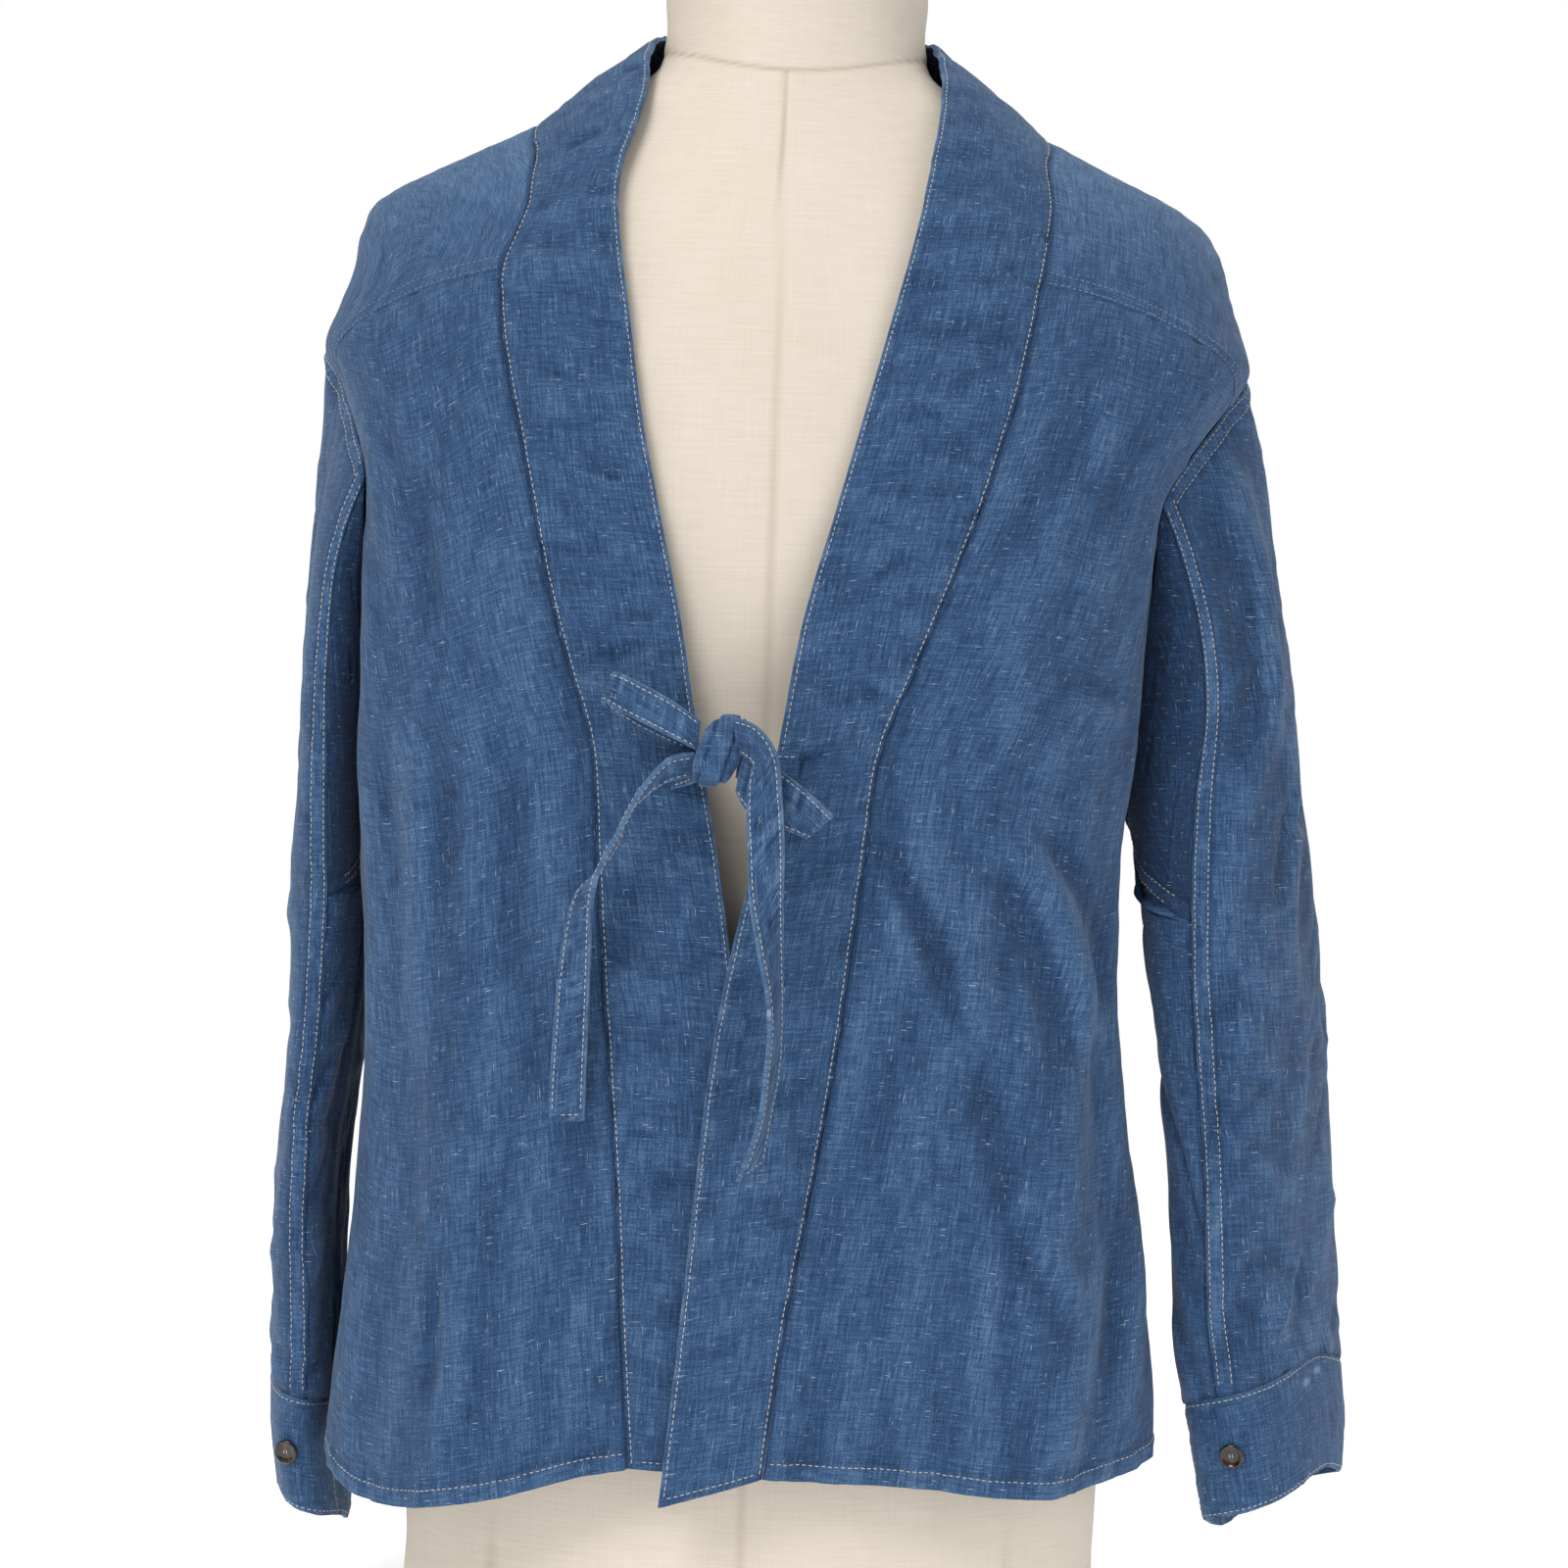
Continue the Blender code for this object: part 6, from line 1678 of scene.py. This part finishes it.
def mix_colours(tree, factor, first, second):
    """A colour between two, each a socket or a plain colour."""
    node = tree.nodes.new("ShaderNodeMix")
    node.data_type = "RGBA"
    tree.links.new(factor.outputs[0], node.inputs[0])
    for place, colour in ((6, first), (7, second)):
        if hasattr(colour, "outputs"):
            tree.links.new(colour.outputs[2], node.inputs[place])
        else:
            node.inputs[place].default_value = colour
    return node


def chambray(name, dark, middle, pale):
    """Washed chambray: blue warp with pale flecks, uneven threads both ways, worn edges, and painted light
    and shade from the cloth's tone attribute.
    """
    material = bpy.data.materials.new(name)
    material.use_nodes = True
    tree = material.node_tree
    shader = tree.nodes["Principled BSDF"]
    place = tree.nodes.new("ShaderNodeUVMap")
    place.uv_map = "cloth"
    warp = stretched_noise(tree, place, (900.0, 60.0), 3.0, 0.6)
    weft = stretched_noise(tree, place, (75.0, 850.0), 3.0, 0.6)
    broad = stretched_noise(tree, place, (260.0, 22.0), 3.0, 0.6)
    cloud = stretched_noise(tree, place, (24.0, 20.0), 3.0, 0.55)
    grain = stretched_noise(tree, place, (1500.0, 1500.0), 2.0, 0.7)
    threads = maths(tree, "ADD", ranged(tree, warp, "Fac", 0.3, 0.7, 0.0, 0.36),
                    ranged(tree, weft, "Fac", 0.3, 0.7, 0.0, 0.30))
    threads = maths(tree, "ADD", threads, ranged(tree, broad, "Fac", 0.3, 0.7, 0.0, 0.10))
    threads = maths(tree, "ADD", threads, ranged(tree, cloud, "Fac", 0.3, 0.7, 0.0, 0.09))
    threads = maths(tree, "ADD", threads, ranged(tree, grain, "Fac", 0.3, 0.7, -0.14, 0.34))
    # The tone attribute brings real wear together with painted light and shade onto the cloth.
    seams_wear_and_painted_light = tree.nodes.new("ShaderNodeAttribute")
    seams_wear_and_painted_light.attribute_name = "seams_wear_and_painted_light"
    tone_with_painted_light = tree.nodes.new("ShaderNodeMath")
    tone_with_painted_light.operation = "MULTIPLY"
    tree.links.new(seams_wear_and_painted_light.outputs["Fac"], tone_with_painted_light.inputs[0])
    tone_with_painted_light.inputs[1].default_value = WEAR_AND_PAINTED_LIGHT_STRENGTH
    tone = maths(tree, "ADD", threads, tone_with_painted_light)
    low = mix_colours(tree, ranged(tree, tone, 0, 0.15, 0.60, 0.0, 1.0), dark, middle)
    high = mix_colours(tree, ranged(tree, tone, 0, 0.55, 1.15, 0.0, 1.0), low, pale)
    fleck_across = stretched_noise(tree, place, (150.0, 1500.0), 1.0, 0.4)
    fleck_up = stretched_noise(tree, place, (1500.0, 150.0), 1.0, 0.4)
    flecks = maths(tree, "MAXIMUM", ranged(tree, fleck_across, "Fac", 0.70, 0.78, 0.0, 0.65),
                   ranged(tree, fleck_up, "Fac", 0.70, 0.78, 0.0, 0.5))
    flecked = mix_colours(tree, flecks, high, FLECK)
    tree.links.new(flecked.outputs[2], shader.inputs["Base Color"])
    shader.inputs["Roughness"].default_value = 0.92
    shader.inputs["Specular IOR Level"].default_value = 0.18
    shader.inputs["Sheen Weight"].default_value = 0.18
    shader.inputs["Sheen Roughness"].default_value = 0.5
    shader.inputs["Sheen Tint"].default_value = (0.75, 0.85, 1.0, 1.0)
    surface = maths(tree, "ADD", ranged(tree, warp, "Fac", 0.3, 0.7, 0.0, 0.5),
                    ranged(tree, weft, "Fac", 0.3, 0.7, 0.0, 0.5))
    rumple = stretched_noise(tree, place, (75.0, 60.0), 4.0, 0.6)
    fine = tree.nodes.new("ShaderNodeBump")
    fine.inputs["Strength"].default_value = 0.35
    fine.inputs["Distance"].default_value = 0.0004
    tree.links.new(surface.outputs[0], fine.inputs["Height"])
    soft = tree.nodes.new("ShaderNodeBump")
    soft.inputs["Strength"].default_value = 0.70
    soft.inputs["Distance"].default_value = 0.0022
    tree.links.new(rumple.outputs["Fac"], soft.inputs["Height"])
    tree.links.new(fine.outputs["Normal"], soft.inputs["Normal"])
    tree.links.new(soft.outputs["Normal"], shader.inputs["Normal"])
    return material


def linen_cloth():
    """The form's cover: cream linen with fine threads across and darker seams."""
    material = bpy.data.materials.new("linen_cover")
    material.use_nodes = True
    tree = material.node_tree
    shader = tree.nodes["Principled BSDF"]
    place = tree.nodes.new("ShaderNodeUVMap")
    place.uv_map = "cloth"
    weft = stretched_noise(tree, place, (24.0, 900.0), 3.0, 0.6)
    warp = stretched_noise(tree, place, (900.0, 30.0), 2.0, 0.5)
    cloud = stretched_noise(tree, place, (12.0, 9.0), 3.0, 0.5)
    tone = maths(tree, "ADD", ranged(tree, weft, "Fac", 0.3, 0.7, 0.0, 0.5),
                 ranged(tree, warp, "Fac", 0.3, 0.7, 0.0, 0.25))
    tone = maths(tree, "ADD", tone, ranged(tree, cloud, "Fac", 0.3, 0.7, 0.0, 0.25))
    base = mix_colours(tree, tone, LINEN_DARK, LINEN_PALE)
    seam = tree.nodes.new("ShaderNodeAttribute")
    seam.attribute_name = "seams_wear_and_painted_light"
    line = tree.nodes.new("ShaderNodeMath")
    line.operation = "MULTIPLY"
    tree.links.new(seam.outputs["Fac"], line.inputs[0])
    line.inputs[1].default_value = 0.55
    seamed = mix_colours(tree, line, base, LINEN_SEAM)
    tree.links.new(seamed.outputs[2], shader.inputs["Base Color"])
    shader.inputs["Roughness"].default_value = 0.85
    shader.inputs["Specular IOR Level"].default_value = 0.2
    bump = tree.nodes.new("ShaderNodeBump")
    bump.inputs["Strength"].default_value = 0.3
    bump.inputs["Distance"].default_value = 0.0003
    tree.links.new(tone.outputs[0], bump.inputs["Height"])
    tree.links.new(bump.outputs["Normal"], shader.inputs["Normal"])
    return material


def plain(name, colour, roughness, specular=0.5):
    """A plain surface."""
    material = bpy.data.materials.new(name)
    material.use_nodes = True
    shader = material.node_tree.nodes["Principled BSDF"]
    shader.inputs["Base Color"].default_value = colour
    shader.inputs["Roughness"].default_value = roughness
    shader.inputs["Specular IOR Level"].default_value = specular
    return material


def horn_surface():
    """Polished dark horn with amber glints."""
    material = plain("polished_horn", HORN, 0.16)
    tree = material.node_tree
    shader = tree.nodes["Principled BSDF"]
    place = tree.nodes.new("ShaderNodeTexCoord")
    noise = tree.nodes.new("ShaderNodeTexNoise")
    noise.inputs["Scale"].default_value = 260.0
    noise.inputs["Detail"].default_value = 2.0
    node_link(tree, place, "Object", noise, "Vector")
    colour = mix_colours(tree, ranged(tree, noise, "Fac", 0.56, 0.72, 0.0, 1.0), HORN, AMBER)
    tree.links.new(colour.outputs[2], shader.inputs["Base Color"])
    shader.inputs["Coat Weight"].default_value = 0.4
    return material


def add_light(name, place, target, size, power, colour):
    """A soft square light aimed at a point."""
    data = bpy.data.lights.new(name, "AREA")
    data.shape = "SQUARE"
    data.size = size
    data.energy = power
    data.color = colour
    item = bpy.data.objects.new(name, data)
    item.location = place
    aim = Vector(target) - Vector(place)
    item.rotation_euler = aim.to_track_quat("-Z", "Y").to_euler()
    bpy.context.scene.collection.objects.link(item)
    return item


def make_surroundings():
    """Pale floor, white surroundings, soft studio lights and the photo's camera."""
    scene = bpy.context.scene
    scene.view_settings.view_transform = "Standard"
    world = bpy.data.worlds.new("white")
    world.use_nodes = True
    tree = world.node_tree
    back = tree.nodes["Background"]
    back.inputs["Color"].default_value = (1.0, 1.0, 1.0, 1.0)
    rays = tree.nodes.new("ShaderNodeLightPath")
    strength = tree.nodes.new("ShaderNodeMapRange")
    strength.inputs["To Min"].default_value = SKY_LIGHT
    strength.inputs["To Max"].default_value = 1.0
    tree.links.new(rays.outputs["Is Camera Ray"], strength.inputs["Value"])
    tree.links.new(strength.outputs["Result"], back.inputs["Strength"])
    scene.world = world
    floor_points = [(-FLOOR_SIZE, -FLOOR_SIZE, 0.0), (FLOOR_SIZE, -FLOOR_SIZE, 0.0),
                    (FLOOR_SIZE, FLOOR_SIZE, 0.0), (-FLOOR_SIZE, FLOOR_SIZE, 0.0)]
    surface = plain("floor", FLOOR_COLOUR, 0.9, 0.1)
    glow = surface.node_tree.nodes["Principled BSDF"]
    glow.inputs["Emission Color"].default_value = (1.0, 1.0, 1.0, 1.0)
    glow.inputs["Emission Strength"].default_value = FLOOR_GLOW
    floor = add_mesh("floor", np.array(floor_points), np.array([[0, 1, 2, 3]]), surface)
    for light in LIGHTS:
        add_light(*light)
    data = bpy.data.cameras.new("camera")
    data.lens = CAMERA_LENS
    data.sensor_width = 36.0
    camera = bpy.data.objects.new("camera", data)
    roll = math.radians(CAMERA_ROLL)
    right = Vector((math.cos(roll), 0.0, math.sin(roll)))
    up = Vector((-math.sin(roll), 0.0, math.cos(roll)))
    back_way = Vector((0.0, -1.0, 0.0))
    frame_matrix = Matrix((
        (right.x, up.x, back_way.x, CAMERA_PLACE[0]),
        (right.y, up.y, back_way.y, CAMERA_PLACE[1]),
        (right.z, up.z, back_way.z, CAMERA_PLACE[2]),
        (0.0, 0.0, 0.0, 1.0),
    ))
    camera.matrix_world = frame_matrix
    bpy.context.scene.collection.objects.link(camera)
    scene.camera = camera


def main():
    """Build everything that the picture shows."""
    denim = chambray("chambray", DARK_BLUE, MIDDLE_BLUE, PALE_BLUE)
    deep = chambray("chambray_band", DARK_BLUE, MIDDLE_BLUE, PALE_BLUE)
    linen = linen_cloth()
    horn = horn_surface()
    thread = plain("thread", THREAD, 0.8, 0.2)
    fine_thread = plain("fine_thread", FINE_THREAD, 0.8, 0.2)
    make_form_piece(linen)
    for name, (item, _) in make_body_pieces(denim, thread, fine_thread).items():
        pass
    for side in ("left", "right"):
        make_band_piece(side, deep, thread)
        make_sleeve_pieces(side, denim, deep, thread)
        make_cuff_piece(side, deep, thread)
        make_button_piece(side, horn, thread)
    for name, rows in TIES.items():
        make_ribbon(name, rows, denim, thread)
    make_knot_piece(deep)
    make_surroundings()


main()
